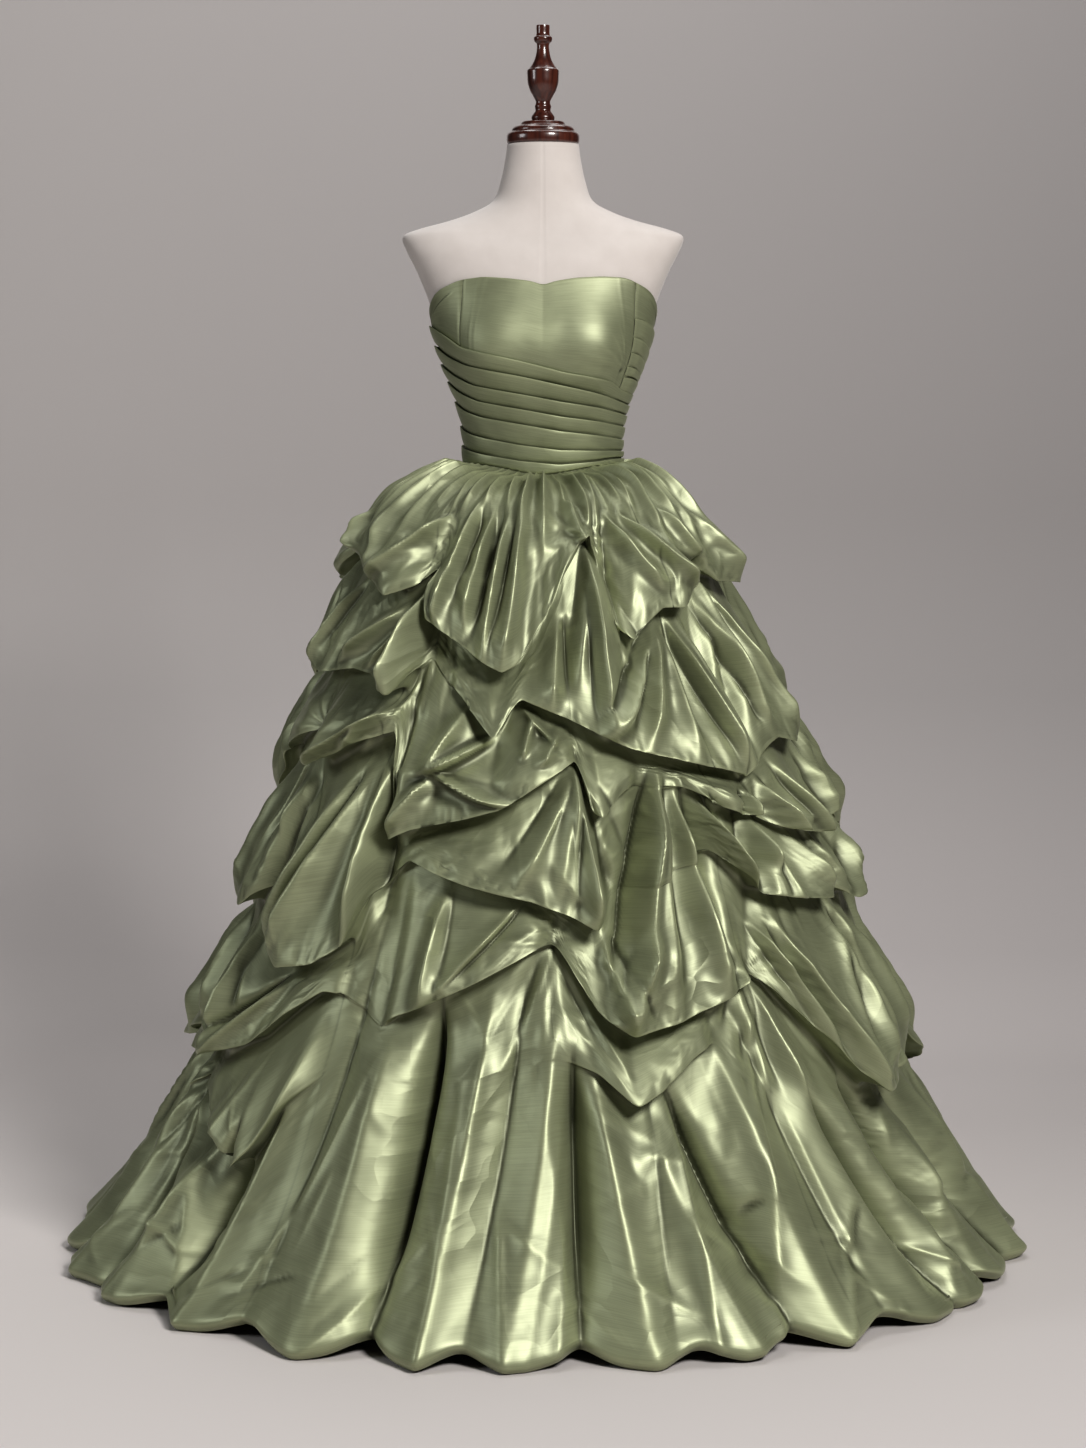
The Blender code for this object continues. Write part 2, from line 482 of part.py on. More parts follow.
def make_bodice(material):
    """Centre front, side fronts, draped midriff and backs."""
    bearings = spread(PRINCESS_LEFT, PRINCESS_RIGHT, FRONT_COLUMNS)
    top = curve_through(NECKLINE, 1, bearings)
    bottom = curve_through(DRAPE_TOP, 1, bearings) + SEAM_GAP
    rows = level_rows(top, bottom, 7)
    bodice_piece("bodice_center_front", bearings, rows, 0 * rows, material)

    bearings = spread(-SIDE_BEARING, PRINCESS_LEFT, SIDE_COLUMNS)
    top = curve_through(NECKLINE, 1, bearings)
    bottom = curve_through(DRAPE_TOP, 1, bearings) + SEAM_GAP
    rows = level_rows(top, bottom, 4)
    bodice_piece("bodice_side_front_left", bearings, rows, 0 * rows, material)

    bearings = spread(PRINCESS_RIGHT, SIDE_BEARING, SIDE_COLUMNS)
    top = curve_through(NECKLINE, 1, bearings)
    bottom = curve_through(DRAPE_TOP, 1, bearings) + SEAM_GAP
    rows, raised = pleated_rows(top, bottom, SIDE_PLEATS, PLEAT_RISE)
    climb = SIDE_PLEAT_TILT * (bearings - bearings[0]) / (bearings[-1] - bearings[0])
    inside_piece = np.sin(pi * (rows - bottom) / (top - bottom))
    rows = rows - (climb - SIDE_PLEAT_TILT / 2) * inside_piece * 0.8
    bodice_piece("bodice_side_front_right", bearings, rows, raised, material)

    front = spread(PRINCESS_LEFT, PRINCESS_RIGHT, FRONT_COLUMNS)
    left = spread(-SIDE_BEARING, PRINCESS_LEFT, SIDE_COLUMNS)[:-1]
    right = spread(PRINCESS_RIGHT, SIDE_BEARING, SIDE_COLUMNS)[1:]
    bearings = np.concatenate([left, front, right])
    top = curve_through(DRAPE_TOP, 1, bearings)
    bottom = waist_seam(bearings)
    rows, raised = pleated_rows(top, bottom, DRAPE_PLEATS, PLEAT_RISE)
    bodice_piece("midriff_drape", bearings, rows, raised, material)

    zip_bearing = np.degrees(ZIP_HALF_WIDTH / 0.082)
    for name, side in (("bodice_back_right", 1), ("bodice_back_left", -1)):
        bearings = spread(SIDE_BEARING, 180.0 - zip_bearing, 9)
        top = curve_through(NECKLINE, 1, bearings)
        rows, raised = pleated_rows(top, waist_seam(bearings), 4, 0.6 * PLEAT_RISE)
        bodice_piece(name, side * bearings, rows, raised, material)


def cut_from(name, outline, half_width, material):
    """A plate: an outline of (y, z) points, pushed out both ways along X."""
    work = bmesh.new()
    ends = [[work.verts.new((side * half_width, y, z)) for y, z in outline] for side in (-1, 1)]
    quads_between(work, ends[0] + ends[0][:1], ends[1] + ends[1][:1])
    for end in ends:
        work.faces.new(end)
    return add_object(name, work, material)


def make_zip(tape_material, metal):
    """Concealed zip in the centre back: tape, slider and a hinged pull tab."""
    half = np.degrees((ZIP_HALF_WIDTH - SEAM_GAP) / 0.082)
    bearings = np.linspace(180.0 - half, 180.0 + half, 3)
    top = curve_through(NECKLINE, 1, np.array([179.0]))[0] - 3 * MM
    rows = np.linspace(top, waist_seam(180.0), 9)[:, None] + 0 * bearings
    bodice_piece("zip_tape", bearings, rows, -0.6 * MM + 0 * rows, tape_material)

    # The slider's body, with a bridge in front of it that traps the tab's pin.
    foot_height = top - 4 * MM - SLIDER_LENGTH
    against = [bodice_radius(180.0, z) + CLOTH - 0.6 * MM for z in (foot_height, foot_height + SLIDER_LENGTH)]
    back = float(max(against)) + SEAM_GAP
    face = back + 2.2 * MM
    low, high = foot_height, foot_height + SLIDER_LENGTH
    hinge_height = high - 3.4 * MM
    hinge_depth = face + 1.2 * MM
    lug_out = hinge_depth + 1.0 * MM
    body = cut_from("zip_slider", ((back, low), (face, low + 1 * MM), (face, high), (back, high)),
                    SLIDER_HALF, metal)
    lug = ((face - 1 * MM, hinge_height - 2 * MM), (lug_out, hinge_height - 1.2 * MM),
           (lug_out, hinge_height + 1.2 * MM), (face - 1 * MM, hinge_height + 2 * MM))
    for side in (-1, 1):
        ear = cut_from("lug", lug, 0.45 * MM, metal)
        ear.location.x = side * (SLIDER_HALF - 0.45 * MM)
        ear.hide_render = True
        ear.display_type = "WIRE"
        join = body.modifiers.new("lug", "BOOLEAN")
        join.operation = "UNION"
        join.object = ear

    # The tab hangs from its pin; its origin is on the hinge's axis.
    half_tab = SLIDER_HALF - 0.9 * MM - SEAM_GAP
    thin = 0.55 * MM
    outline = [(thin, -PULL_LENGTH), (thin, 0.35 * MM), (0.0, 0.7 * MM), (-thin, 0.35 * MM),
               (-thin, -PULL_LENGTH)]
    tab = cut_from("zip_pull_tab", outline, half_tab, metal)
    tab.location = (0.0, hinge_depth, hinge_height)
    print("zip hinge", round(hinge_depth, 5), round(hinge_height, 5))


# --------------------------------------------------------------------- skirt
def body_radius(bearing, height):
    """Radius of the skirt under its swags."""
    table = np.array(SKIRT_BODY)[::-1]
    left = np.clip(-np.sin(np.radians(bearing)), 0.0, 1.0) ** 2
    lean = LEFT_LEAN * left * smooth((0.9 - height) / 0.3) * smooth(height / 0.15)
    return np.interp(height, table[:, 0], table[:, 1]) - lean


def corners(table):
    """The low corners of a row of swags, as (bearing, sharpness 0 to 1)."""
    for before, here, after in zip(table[:-2], table[1:-1], table[2:]):
        if here[1] <= before[1] and here[1] <= after[1] and here[2] >= 3:
            yield here[0], min(1.0, (before[1] + after[1] - 2 * here[1]) / 8.0 + 0.25)


def swag_rows(bearing):
    """Lower edge, standing-out and closedness of each row of swags at these bearings."""
    for table in SWAG_ROWS:
        edge = curve_through(table, 1, bearing) * CM
        tuck = curve_through(table, 2, bearing) * CM
        flare = sum(CORNER_FLARE * s * np.exp(-(wrap(bearing - b) / FLARE_SPREAD) ** 2)
                    for b, s in corners(table))
        proud = SWAG_LEAST + SWAG_PER_TUCK * tuck + flare
        closed = smooth(tuck / (2.2 * CM))
        yield edge, proud, closed


def control_sections(bearing):
    """Radius and height of each section's control points, top to hem [point, bearing].

    Each row of swags is: emerge, face, fullest, edge, roll, ledge, ledge's inner end.
    Also the share, 0 to 1, of the folds that each control point takes.
    """
    seam_height = waist_seam(bearing) - SEAM_GAP
    seam_radius = bodice_radius(bearing, seam_height) + 0.5 * CLOTH + 1.0 * MM
    points = [(seam_radius, seam_height, 0.0), (seam_radius + 10 * MM, seam_height - 1 * MM, 0.6)]
    for drop, radius in WAIST_PUFF:
        points.append((radius + 0 * bearing, np.minimum(WAIST_HEIGHT + drop, seam_height - 3 * MM), 1.0))
    last_edge = WAIST_HEIGHT - 0.085 + 0 * bearing
    last_closed = 0 * bearing
    for row, (edge, proud, closed) in enumerate(swag_rows(bearing)):
        span = np.maximum(last_edge - edge, 12 * MM)
        open_ = 1.0 - closed
        if row:
            height = last_edge - 8 * MM
            points.append((body_radius(bearing, height) - 2 * MM + 12 * MM * (1 - last_closed), height,
                           1.0 - LEDGE_CALM * last_closed))
        height = edge + 0.55 * span
        points.append((body_radius(bearing, height) + MID_FACE * proud, height, 1.0))
        height = edge + np.minimum(np.maximum(16 * MM, 0.18 * span), 0.35 * span)
        points.append((body_radius(bearing, height) + LOW_FACE * proud, height, 1.0))
        height = edge + 3 * MM
        points.append((body_radius(bearing, height) + proud, height, 1.0))
        height = edge - 4 * MM
        points.append((body_radius(bearing, height) + proud - 0.3 * ROLL_WIDTH * closed, height,
                       1.0 - 0.3 * LEDGE_CALM * closed))
        height = edge + 0.3 * LEDGE_RISE * closed - 6 * MM * open_
        points.append((body_radius(bearing, height) + proud - ROLL_WIDTH * closed, height,
                       1.0 - 0.7 * LEDGE_CALM * closed))
        height = edge + LEDGE_RISE * closed - 12 * MM * open_
        points.append((body_radius(bearing, height) + 0.8 * proud * open_, height, 1.0 - LEDGE_CALM * closed))
        last_edge, last_closed = edge, closed
    lift = sum(rise * CM * np.exp(-(wrap(bearing - at) / half) ** 2) for at, rise, half in HEM_LIFTS)
    for share in (0.92, 0.66, 0.36, 0.14):
        height = last_edge * share
        points.append((body_radius(bearing, height) + 0 * height, height, 1.0))
    points.append((body_radius(bearing, 0) + 4 * MM - 0.4 * lift, 12 * MM + lift, 1.0))
    points.append((body_radius(bearing, 0) - 10 * MM - 0.6 * lift, 1.2 * MM + lift, 1.0))
    return [np.array([p[i] + 0 * bearing for p in points]) for i in range(3)]


def bspline(control, at):
    """Uniform cubic B-spline through the end points [point, bearing] at positions `at`."""
    padded = np.concatenate([2 * control[:1] - control[1:2], control, 2 * control[-1:] - control[-2:-1]])
    start = np.clip(np.floor(at).astype(int), 0, len(control) - 2)
    t = (at - start)[:, None]
    weights = ((1 - t) ** 3, 3 * t ** 3 - 6 * t ** 2 + 4, -3 * t ** 3 + 3 * t ** 2 + 3 * t + 1, t ** 3)
    return sum(w * padded[start + i] for i, w in enumerate(weights)) / 6.0


def fold_rise(bearing, height, radius):
    """Sum of the standing folds, in metres, at points of the skirt."""
    rise = 0.0 * height
    for table in (LONG_FOLDS, SWAG_FOLDS):
        for from_bearing, top, to_bearing, bottom, lift, narrow, wide in table:
            along = np.clip((top * CM - height) / ((top - bottom) * CM), -0.2, 1.2)
            middle = from_bearing + (to_bearing - from_bearing) * along
            aside = np.radians(wrap(bearing - middle)) * radius
            width = (narrow + (wide - narrow) * np.clip(along, 0, 1)) * CM + LEAST_CREST
            fade = smooth(along / 0.35)
            if bottom > 0:
                fade = fade * smooth((1.15 - along) / 0.4)
            rise = rise + lift * CM * fade * (1.0 + (aside / width) ** 2) ** -1.5
    return rise


def tack_sink(bearing, height, radius):
    """How far the hidden tacks, at the peaks between swags, pull the cloth in."""
    sink = 0.0 * height
    for table in SWAG_ROWS:
        for before, here, after in zip(table[:-2], table[1:-1], table[2:]):
            is_tack = here[2] == 1.0 and here[1] >= before[1] and here[1] >= after[1]
            if is_tack:
                aside = np.radians(wrap(bearing - here[0])) * radius
                away = (aside / (2.6 * CM)) ** 2 + ((height - here[1] * CM) / (3.4 * CM)) ** 2
                sink = sink + TACK_SINK * np.exp(-away)
    return sink


def skirt_middle(columns, at):
    """Middle surface of the skirt and its normals [row, column, xyz]."""
    bearing = column_bearing(columns)
    radius, height, face = (bspline(c, at) for c in control_sections(bearing))
    radius_step, height_step = np.gradient(radius, axis=0), np.gradient(height, axis=0)
    length = np.hypot(radius_step, height_step) + 1e-9
    outward = smooth((at[:, None] - 4.0) / 2.0)      # below the waist's puff folds only move outward
    out = outward - (1 - outward) * height_step / length
    up = (1 - outward) * radius_step / length
    bearing_grid = np.broadcast_to(bearing, radius.shape)
    lift = fold_rise(bearing_grid, height, radius) - 6 * MM * smooth((0.9 - height) / 0.4)
    lift = lift - tack_sink(bearing_grid, height, radius)
    from_waist = at[:, None] + 0 * radius
    gather = GATHER_RISE * smooth(from_waist / 4.2) * smooth((7.0 - from_waist) / 4.0)
    lift = face * lift * smooth((from_waist - 1.0) / 3.0) + gather * np.cos(columns * pi / 2.0)
    to_floor = smooth(height / (4 * CM))
    radius = radius + lift * out
    height = height + lift * up * to_floor
    return bearing_grid, radius, np.maximum(height, 1.05 * MM)


def column_bearing(columns):
    """Bearing of a column: close columns at the front, wider ones at the back."""
    front = 72.0 / FRONT_STEP
    past = np.clip(np.abs(columns) - front, 0, None)
    return np.sign(columns) * (np.minimum(np.abs(columns), front) * FRONT_STEP + past * BACK_STEP)


def unit(vectors):
    """The same vectors, one long."""
    return vectors / (np.linalg.norm(vectors, axis=-1, keepdims=True) + 1e-12)


def grid_triangles(points):
    """Triangles [n, 3] of a grid that closes round the skirt, cut along the shorter diagonals."""
    rows, columns = points.shape[:2]
    index = np.arange(rows * columns).reshape(rows, columns)
    a, b = index[:-1], np.roll(index, -1, axis=1)[:-1]
    d, c = index[1:], np.roll(index, -1, axis=1)[1:]
    flat = points.reshape(-1, 3)
    one_way = np.linalg.norm(flat[a] - flat[c], axis=-1)
    other_way = np.linalg.norm(flat[b] - flat[d], axis=-1)
    falling = (one_way <= other_way)[..., None]
    upper = np.where(falling, np.stack([a, b, c], -1), np.stack([a, b, d], -1))
    lower = np.where(falling, np.stack([a, c, d], -1), np.stack([b, c, d], -1))
    return np.concatenate([upper.reshape(-1, 3), lower.reshape(-1, 3)]), falling[..., 0]


def vertex_offsets(points, triangles):
    """From the middle surface to the wall's outer face, at each point of the grid.

    Each offset is turned until it points out of every triangle round its point, so
    that the two faces of the wall never meet.  At a corner it is a little longer,
    so that the wall keeps its thickness there.
    """
    corner = points.reshape(-1, 3)[triangles]
    normal = unit(np.cross(corner[:, 2] - corner[:, 0], corner[:, 1] - corner[:, 0]))[:, None]
    offset = np.zeros((points.shape[0] * points.shape[1], 3))
    np.add.at(offset, triangles, np.repeat(normal, 3, axis=1))
    for _ in range(TURNS_OUT):
        offset = unit(offset)
        short = np.clip(LEAST_OUT - (offset[triangles] * normal).sum(-1, keepdims=True), 0.0, None)
        np.add.at(offset, triangles, 0.3 * short * normal)
    offset = unit(offset)
    share, count = np.zeros(len(offset)), np.zeros(len(offset))
    np.add.at(share, triangles, (offset[triangles] * normal).sum(-1))
    np.add.at(count, triangles, 1.0)
    return (0.5 * CLOTH * offset / np.clip(share / count, LEAST_MITRE, 1.0)[:, None]).reshape(points.shape)


def make_skirt(material):
    """Five panels cut from one gathered, caught-up surface."""
    first, last = -2 * GATHERS, 2 * GATHERS
    columns = np.arange(first, last)
    points_down = len(control_sections(np.zeros(1))[0])
    at = skirt_rows(points_down)
    bearing, radius, height = skirt_middle(columns, at)
    middle = place(bearing, radius, height)
    triangles, falling = grid_triangles(middle)
    offset = vertex_offsets(middle, triangles)
    seams = {p[1] for p in PANELS} | {p[2] for p in PANELS}
    turn = np.radians(bearing)
    sideways = np.stack([np.cos(turn), np.sin(turn), 0 * turn], -1)
    for column in seams:
        i = (column - first) % len(columns)
        offset[:, i] -= sideways[:, i] * (offset[:, i] * sideways[:, i]).sum(-1, keepdims=True)
    offset[0] = place(bearing[0], 0.5 * CLOTH, 0.0)
    offset[-1] = place(bearing[-1], 0.5 * CLOTH, 0.0)
    outer = middle + offset
    inner = middle - offset
    outer[..., 2] = np.maximum(outer[..., 2], 0.0)
    inner[..., 2] = np.maximum(inner[..., 2], 0.0)
    for name, start, stop in PANELS:
        pick = (np.arange(start, stop + 1) - first) % len(columns)
        grids = []
        for grid in (outer, inner):
            part = grid[:, pick].copy()
            part[:, 0] += 0.5 * SEAM_GAP * sideways[:, pick[0]]
            part[:, -1] -= 0.5 * SEAM_GAP * sideways[:, pick[-1]]
            grids.append(part)
        wall(name, *grids, material, falling[:, pick[:-1]])


def skirt_rows(points_down):
    """Where the rows lie along the cloth: close at rolled edges, wide on plain runs."""
    rows = [0.0, 1.2, 3.0, 4.8]
    first_point = 6
    for row in range(len(SWAG_ROWS)):
        start = first_point + (7 * row - 1 if row else 0)
        face = [0.3, 1.8, 3.1, 4.3, 6.0] if row else [1.2, 2.2, 3.3, 5.0]
        rows += [start + f for f in face]
    rows += [points_down - 1 - back for back in (4.0, 2.4, 1.1, 0.0)]
    return np.array(rows)


# ----------------------------------------------------------------- the object
def main():
    for item in list(bpy.data.objects):
        bpy.data.objects.remove(item, do_unlink=True)
    taffeta = paint("olive_taffeta", (0.20, 0.25, 0.13), 0.38)
    linen = paint("cream_linen", (0.78, 0.72, 0.64), 0.85)
    wood = paint("dark_red_wood", (0.07, 0.02, 0.012), 0.28)
    tape = paint("zip_tape_cloth", (0.15, 0.19, 0.10), 0.7)
    metal = paint("zip_metal", (0.35, 0.36, 0.30), 0.35, 1.0)
    make_torso(linen)
    turned("form_neck_cap", NECK_CAP_PROFILE, wood, 20)
    turned("form_finial", FINIAL_PROFILE, wood, 12)
    turned("form_collar", COLLAR_PROFILE, wood, 12)
    pole = ((FOOT_PROFILE[-1][0] + SEAM_GAP, POLE_RADIUS), (COLLAR_PROFILE[0][0] - SEAM_GAP, POLE_RADIUS))
    turned("form_pole", pole, wood, 12)
    turned("stand_foot", FOOT_PROFILE, wood, 28)
    make_bodice(taffeta)
    make_zip(tape, metal)
    make_skirt(taffeta)
    total = sum(len(o.data.loop_triangles) or sum(len(p.vertices) - 2 for p in o.data.polygons)
                for o in bpy.data.objects if o.type == "MESH")
    print("triangles", total)


main()
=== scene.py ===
# %% [markdown]
# # A picked-up ball gown on its dress form
# The solids give the gown its size and its walls.  This script dresses them: the
# cloth becomes thin, gathered and creased, the form gets its linen and its turned
# wood, and the whole stands in a plain studio.  First the solids are loaded as a
# fixed frame, so that every piece below is made in place, in metres.

# %% The frame
from math import pi, radians

import bmesh
import bpy
import numpy as np
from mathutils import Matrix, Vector


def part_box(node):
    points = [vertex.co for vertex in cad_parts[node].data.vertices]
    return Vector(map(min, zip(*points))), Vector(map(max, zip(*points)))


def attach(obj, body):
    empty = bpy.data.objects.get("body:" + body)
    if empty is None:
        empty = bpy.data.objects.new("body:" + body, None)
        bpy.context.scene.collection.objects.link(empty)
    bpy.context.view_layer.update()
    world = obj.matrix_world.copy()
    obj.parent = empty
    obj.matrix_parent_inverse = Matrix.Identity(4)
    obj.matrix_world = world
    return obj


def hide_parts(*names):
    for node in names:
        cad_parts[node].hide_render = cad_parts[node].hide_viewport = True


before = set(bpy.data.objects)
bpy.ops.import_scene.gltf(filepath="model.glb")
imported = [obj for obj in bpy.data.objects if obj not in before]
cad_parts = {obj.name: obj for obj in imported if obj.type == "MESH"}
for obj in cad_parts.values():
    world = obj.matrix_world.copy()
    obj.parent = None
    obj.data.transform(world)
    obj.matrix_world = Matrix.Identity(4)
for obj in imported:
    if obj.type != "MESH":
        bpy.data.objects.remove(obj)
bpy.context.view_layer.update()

CM, MM = 0.01, 0.001
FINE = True

# %% [markdown]
# ## The camera
# A gown is looked at from a little above the waist, from far enough away that the
# skirt isn't widened by perspective.  A long lens on a portrait frame does that.

# %% The camera
CAMERA_HEIGHT = 1.1715
CAMERA_AWAY = 4.6
CAMERA_DOWN = 5.361          # degrees
lens = bpy.data.cameras.new("studio_camera")
lens.lens = 80.95
lens.sensor_width = 36
camera = bpy.data.objects.new("studio_camera", lens)
camera.location = (0, -CAMERA_AWAY, CAMERA_HEIGHT)
camera.rotation_euler = (radians(90 - CAMERA_DOWN), 0, 0)
bpy.context.scene.collection.objects.link(camera)
bpy.context.scene.camera = camera
print("camera", tuple(round(v, 2) for v in camera.location))

# %% [markdown]
# ## Small helpers for materials
# Every finish is a chain of nodes: a pattern, a ramp or a sum, and then a shader.
# Three short helpers keep those chains readable.  Numbers that are the same all
# over a surface go straight onto the shader.

# %% Material helpers
def new_finish(name, colour, roughness, metallic=0.0, **sockets):
    """A material with a Principled shader; returns the material and its shader."""
    material = bpy.data.materials.new(name)
    material.use_nodes = True
    shader = material.node_tree.nodes["Principled BSDF"]
    shader.inputs["Base Color"].default_value = (*colour, 1)
    shader.inputs["Roughness"].default_value = roughness
    shader.inputs["Metallic"].default_value = metallic
    for socket, value in sockets.items():
        shader.inputs[socket.replace("_", " ")].default_value = value
    return material, shader


def add_node(material, kind, **settings):
    """A node, with its properties and its input values set by name."""
    node = material.node_tree.nodes.new(kind)
    for key, value in settings.items():
        if hasattr(node, key):
            setattr(node, key, value)
        else:
            node.inputs[key.replace("_", " ")].default_value = value
    return node


def join(material, *pairs):
    """Links, given as (from socket, to socket) pairs."""
    for start, end in pairs:
        material.node_tree.links.new(start, end)


def stretched(material, source, across, along):
    """Pattern coordinates, scaled differently across and along the cloth."""
    mapping = add_node(material, "ShaderNodeMapping")
    mapping.inputs["Scale"].default_value = (across, along, 1)
    join(material, (source, mapping.inputs["Vector"]))
    return mapping.outputs["Vector"]


def ramp(material, factor, *stops):
    """A colour ramp through (position, colour) stops."""
    node = add_node(material, "ShaderNodeValToRGB")
    elements = node.color_ramp.elements
    while len(elements) < len(stops):
        elements.new(0.5)
    for element, (position, colour) in zip(elements, stops):
        element.position = position
        element.color = (*colour, 1)
    join(material, (factor, node.inputs["Fac"]))
    return node.outputs["Color"]


def bumps(material, shader, *layers):
    """Stacked bumps, coarse first: (height socket, strength, depth in metres)."""
    last = None
    for height, strength, depth in layers:
        node = add_node(material, "ShaderNodeBump", Strength=strength, Distance=depth)
        join(material, (height, node.inputs["Height"]))
        if last is not None:
            join(material, (last, node.inputs["Normal"]))
        last = node.outputs["Normal"]
    join(material, (last, shader.inputs["Normal"]))


print("material helpers ready")

# %% [markdown]
# ## Taffeta
# Taffeta is a crisp plain weave of fine, tightly twisted threads.  It shines like
# dull metal along each fold, shows faint streaks where a thread is thicker, and
# keeps every small crease.  The shader is therefore part metal, with a soft sheen.
# Its bump has four layers: flat facets and sharp creases some centimetres long, then
# thread streaks, then the weave itself.  The mesh's pointiness paints shade into the
# bottom of each narrow fold, where little light gets in, and paints a highlight on its
# crest.  The pattern lies in the cloth's own coordinates, in metres.

# %% Taffeta
DARKER, LIGHTER = 0.84, 1.14         # uneven dye, as shares of the cloth's colour
STREAKS = 22, 900                    # thread streaks in a metre, across and along
# painted shade in the bottom of narrow folds and a painted highlight on their crests, as shares of the colour
# by the mesh's pointiness
PAINTED_FOLD_SHADE_AND_HIGHLIGHT = ((0.465, (0.36, 0.36, 0.34)), (0.497, (1, 1, 1)), (0.53, (1.16, 1.16, 1.14)))


def multiplied(material, share, one, other):
    """One colour multiplied by another, by a share."""
    mix = add_node(material, "ShaderNodeMix", data_type="RGBA", blend_type="MULTIPLY")
    mix.inputs[0].default_value = share
    join(material, (one, mix.inputs[6]), (other, mix.inputs[7]))
    return mix.outputs[2]


def facet_bumps(material, cloth):
    """Height of flat facets with sharp borders, strong in some places and faint in others."""
    bent = add_node(material, "ShaderNodeTexNoise", Scale=11.0, Detail=2.0)
    sway = add_node(material, "ShaderNodeVectorMath", operation="MULTIPLY_ADD")
    sway.inputs[1].default_value = (0.07, 0.07, 0.07)
    facets = add_node(material, "ShaderNodeTexVoronoi", feature="F1", Scale=24.0, Randomness=1.0)
    where = add_node(material, "ShaderNodeTexNoise", Scale=5.0, Detail=1.0)
    share = add_node(material, "ShaderNodeMapRange", From_Min=0.45, From_Max=0.70, To_Min=0.05, To_Max=1.0)
    height = add_node(material, "ShaderNodeMath", operation="MULTIPLY")
    join(material, (cloth, bent.inputs["Vector"]), (bent.outputs["Color"], sway.inputs[0]),
         (cloth, sway.inputs[2]), (sway.outputs["Vector"], facets.inputs["Vector"]),
         (cloth, where.inputs["Vector"]), (where.outputs["Fac"], share.inputs["Value"]),
         (facets.outputs["Distance"], height.inputs[0]), (share.outputs["Result"], height.inputs[1]))
    return height.outputs["Value"]


def taffeta_finish(name, colour, crumple, gloss):
    """Olive taffeta.  crumple: depth of the small creases in metres.  gloss: roughness from, to."""
    material, shader = new_finish(name, colour, 0.45, 0.5, Sheen_Weight=0.10, Sheen_Roughness=0.35)
    shader.inputs["Sheen Tint"].default_value = (0.80, 0.84, 0.62, 1)
    shader.inputs["Specular IOR Level"].default_value = 0.6
    cloth = add_node(material, "ShaderNodeUVMap", uv_map="cloth").outputs["UV"]
    patches = add_node(material, "ShaderNodeTexNoise", Scale=9.0, Detail=3.0, Roughness=0.55)
    weft = add_node(material, "ShaderNodeTexNoise", Scale=1.0, Detail=2.0)
    creases = add_node(material, "ShaderNodeTexNoise", noise_type="RIDGED_MULTIFRACTAL",
                       Scale=18.0, Detail=3.0, Roughness=0.5, Distortion=0.6)
    thread = add_node(material, "ShaderNodeTexWave", wave_type="BANDS", bands_direction="Y",
                      Scale=420.0, Distortion=0.4)
    shine = add_node(material, "ShaderNodeMapRange",
                     From_Min=0.3, From_Max=0.7, To_Min=gloss[0], To_Max=gloss[1])
    join(material, (cloth, patches.inputs["Vector"]), (cloth, creases.inputs["Vector"]),
         (stretched(material, cloth, *STREAKS), weft.inputs["Vector"]), (cloth, thread.inputs["Vector"]),
         (patches.outputs["Fac"], shine.inputs["Value"]),
         (shine.outputs["Result"], shader.inputs["Roughness"]))
    dark, light = (tuple(c * share for c in colour) for share in (DARKER, LIGHTER))
    tone = ramp(material, patches.outputs["Fac"], (0.30, dark), (0.52, colour), (0.74, light))
    streaks = ramp(material, weft.outputs["Fac"], (0.36, (0.72, 0.72, 0.70)), (0.62, (1, 1, 1)))
    # painted shade and painted highlight: pointiness darkens the colour in narrow hollows and lightens it on
    # crests
    pointed = add_node(material, "ShaderNodeNewGeometry").outputs["Pointiness"]
    shaded = multiplied(material, 1.0, multiplied(material, 0.45, tone, streaks),
                        ramp(material, pointed, *PAINTED_FOLD_SHADE_AND_HIGHLIGHT))
    join(material, (shaded, shader.inputs["Base Color"]))
    bumps(material, shader, (facet_bumps(material, cloth), 1.0, 3.0 * crumple),
          (creases.outputs["Fac"], 0.8, 1.6 * crumple),
          (weft.outputs["Fac"], 0.22, 0.25 * MM), (thread.outputs["Fac"], 0.12, 0.08 * MM))
    return material


OLIVE = (0.298, 0.320, 0.202)
skirt_taffeta = taffeta_finish("skirt_taffeta", OLIVE, 1.6 * MM, (0.41, 0.52))
bodice_taffeta = taffeta_finish("bodice_taffeta", OLIVE, 0.6 * MM, (0.46, 0.58))
print("taffeta ready")

# %% [markdown]
# ## Linen, wood and metal
# The form is covered in fine off-white linen, whose threads show only up close.
# The cap, finial, pole and foot are turned hardwood, stained a very dark red-brown
# and varnished: a grain that runs up the piece under a clear coat.

# %% Linen, wood, metal and tape
def linen_finish():
    """Off-white linen: two crossed thread patterns over a slightly mottled tone."""
    material, shader = new_finish("form_linen", (0.57, 0.525, 0.495), 0.78, Sheen_Weight=0.25)
    place_in = add_node(material, "ShaderNodeTexCoord").outputs["Object"]
    mottle = add_node(material, "ShaderNodeTexNoise", Scale=30.0, Detail=4.0)
    tone = ramp(material, mottle.outputs["Fac"], (0.3, (0.565, 0.515, 0.485)), (0.7, (0.605, 0.555, 0.525)))
    join(material, (place_in, mottle.inputs["Vector"]), (tone, shader.inputs["Base Color"]))
    waves = []
    for direction in ("Z", "X"):
        wave = add_node(material, "ShaderNodeTexWave", bands_direction=direction, Scale=330.0, Distortion=1.2)
        join(material, (place_in, wave.inputs["Vector"]))
        waves.append(wave.outputs["Fac"])
    bumps(material, shader, (mottle.outputs["Fac"], 0.15, 0.4 * MM), (waves[0], 0.25, 0.12 * MM),
          (waves[1], 0.25, 0.12 * MM))
    return material


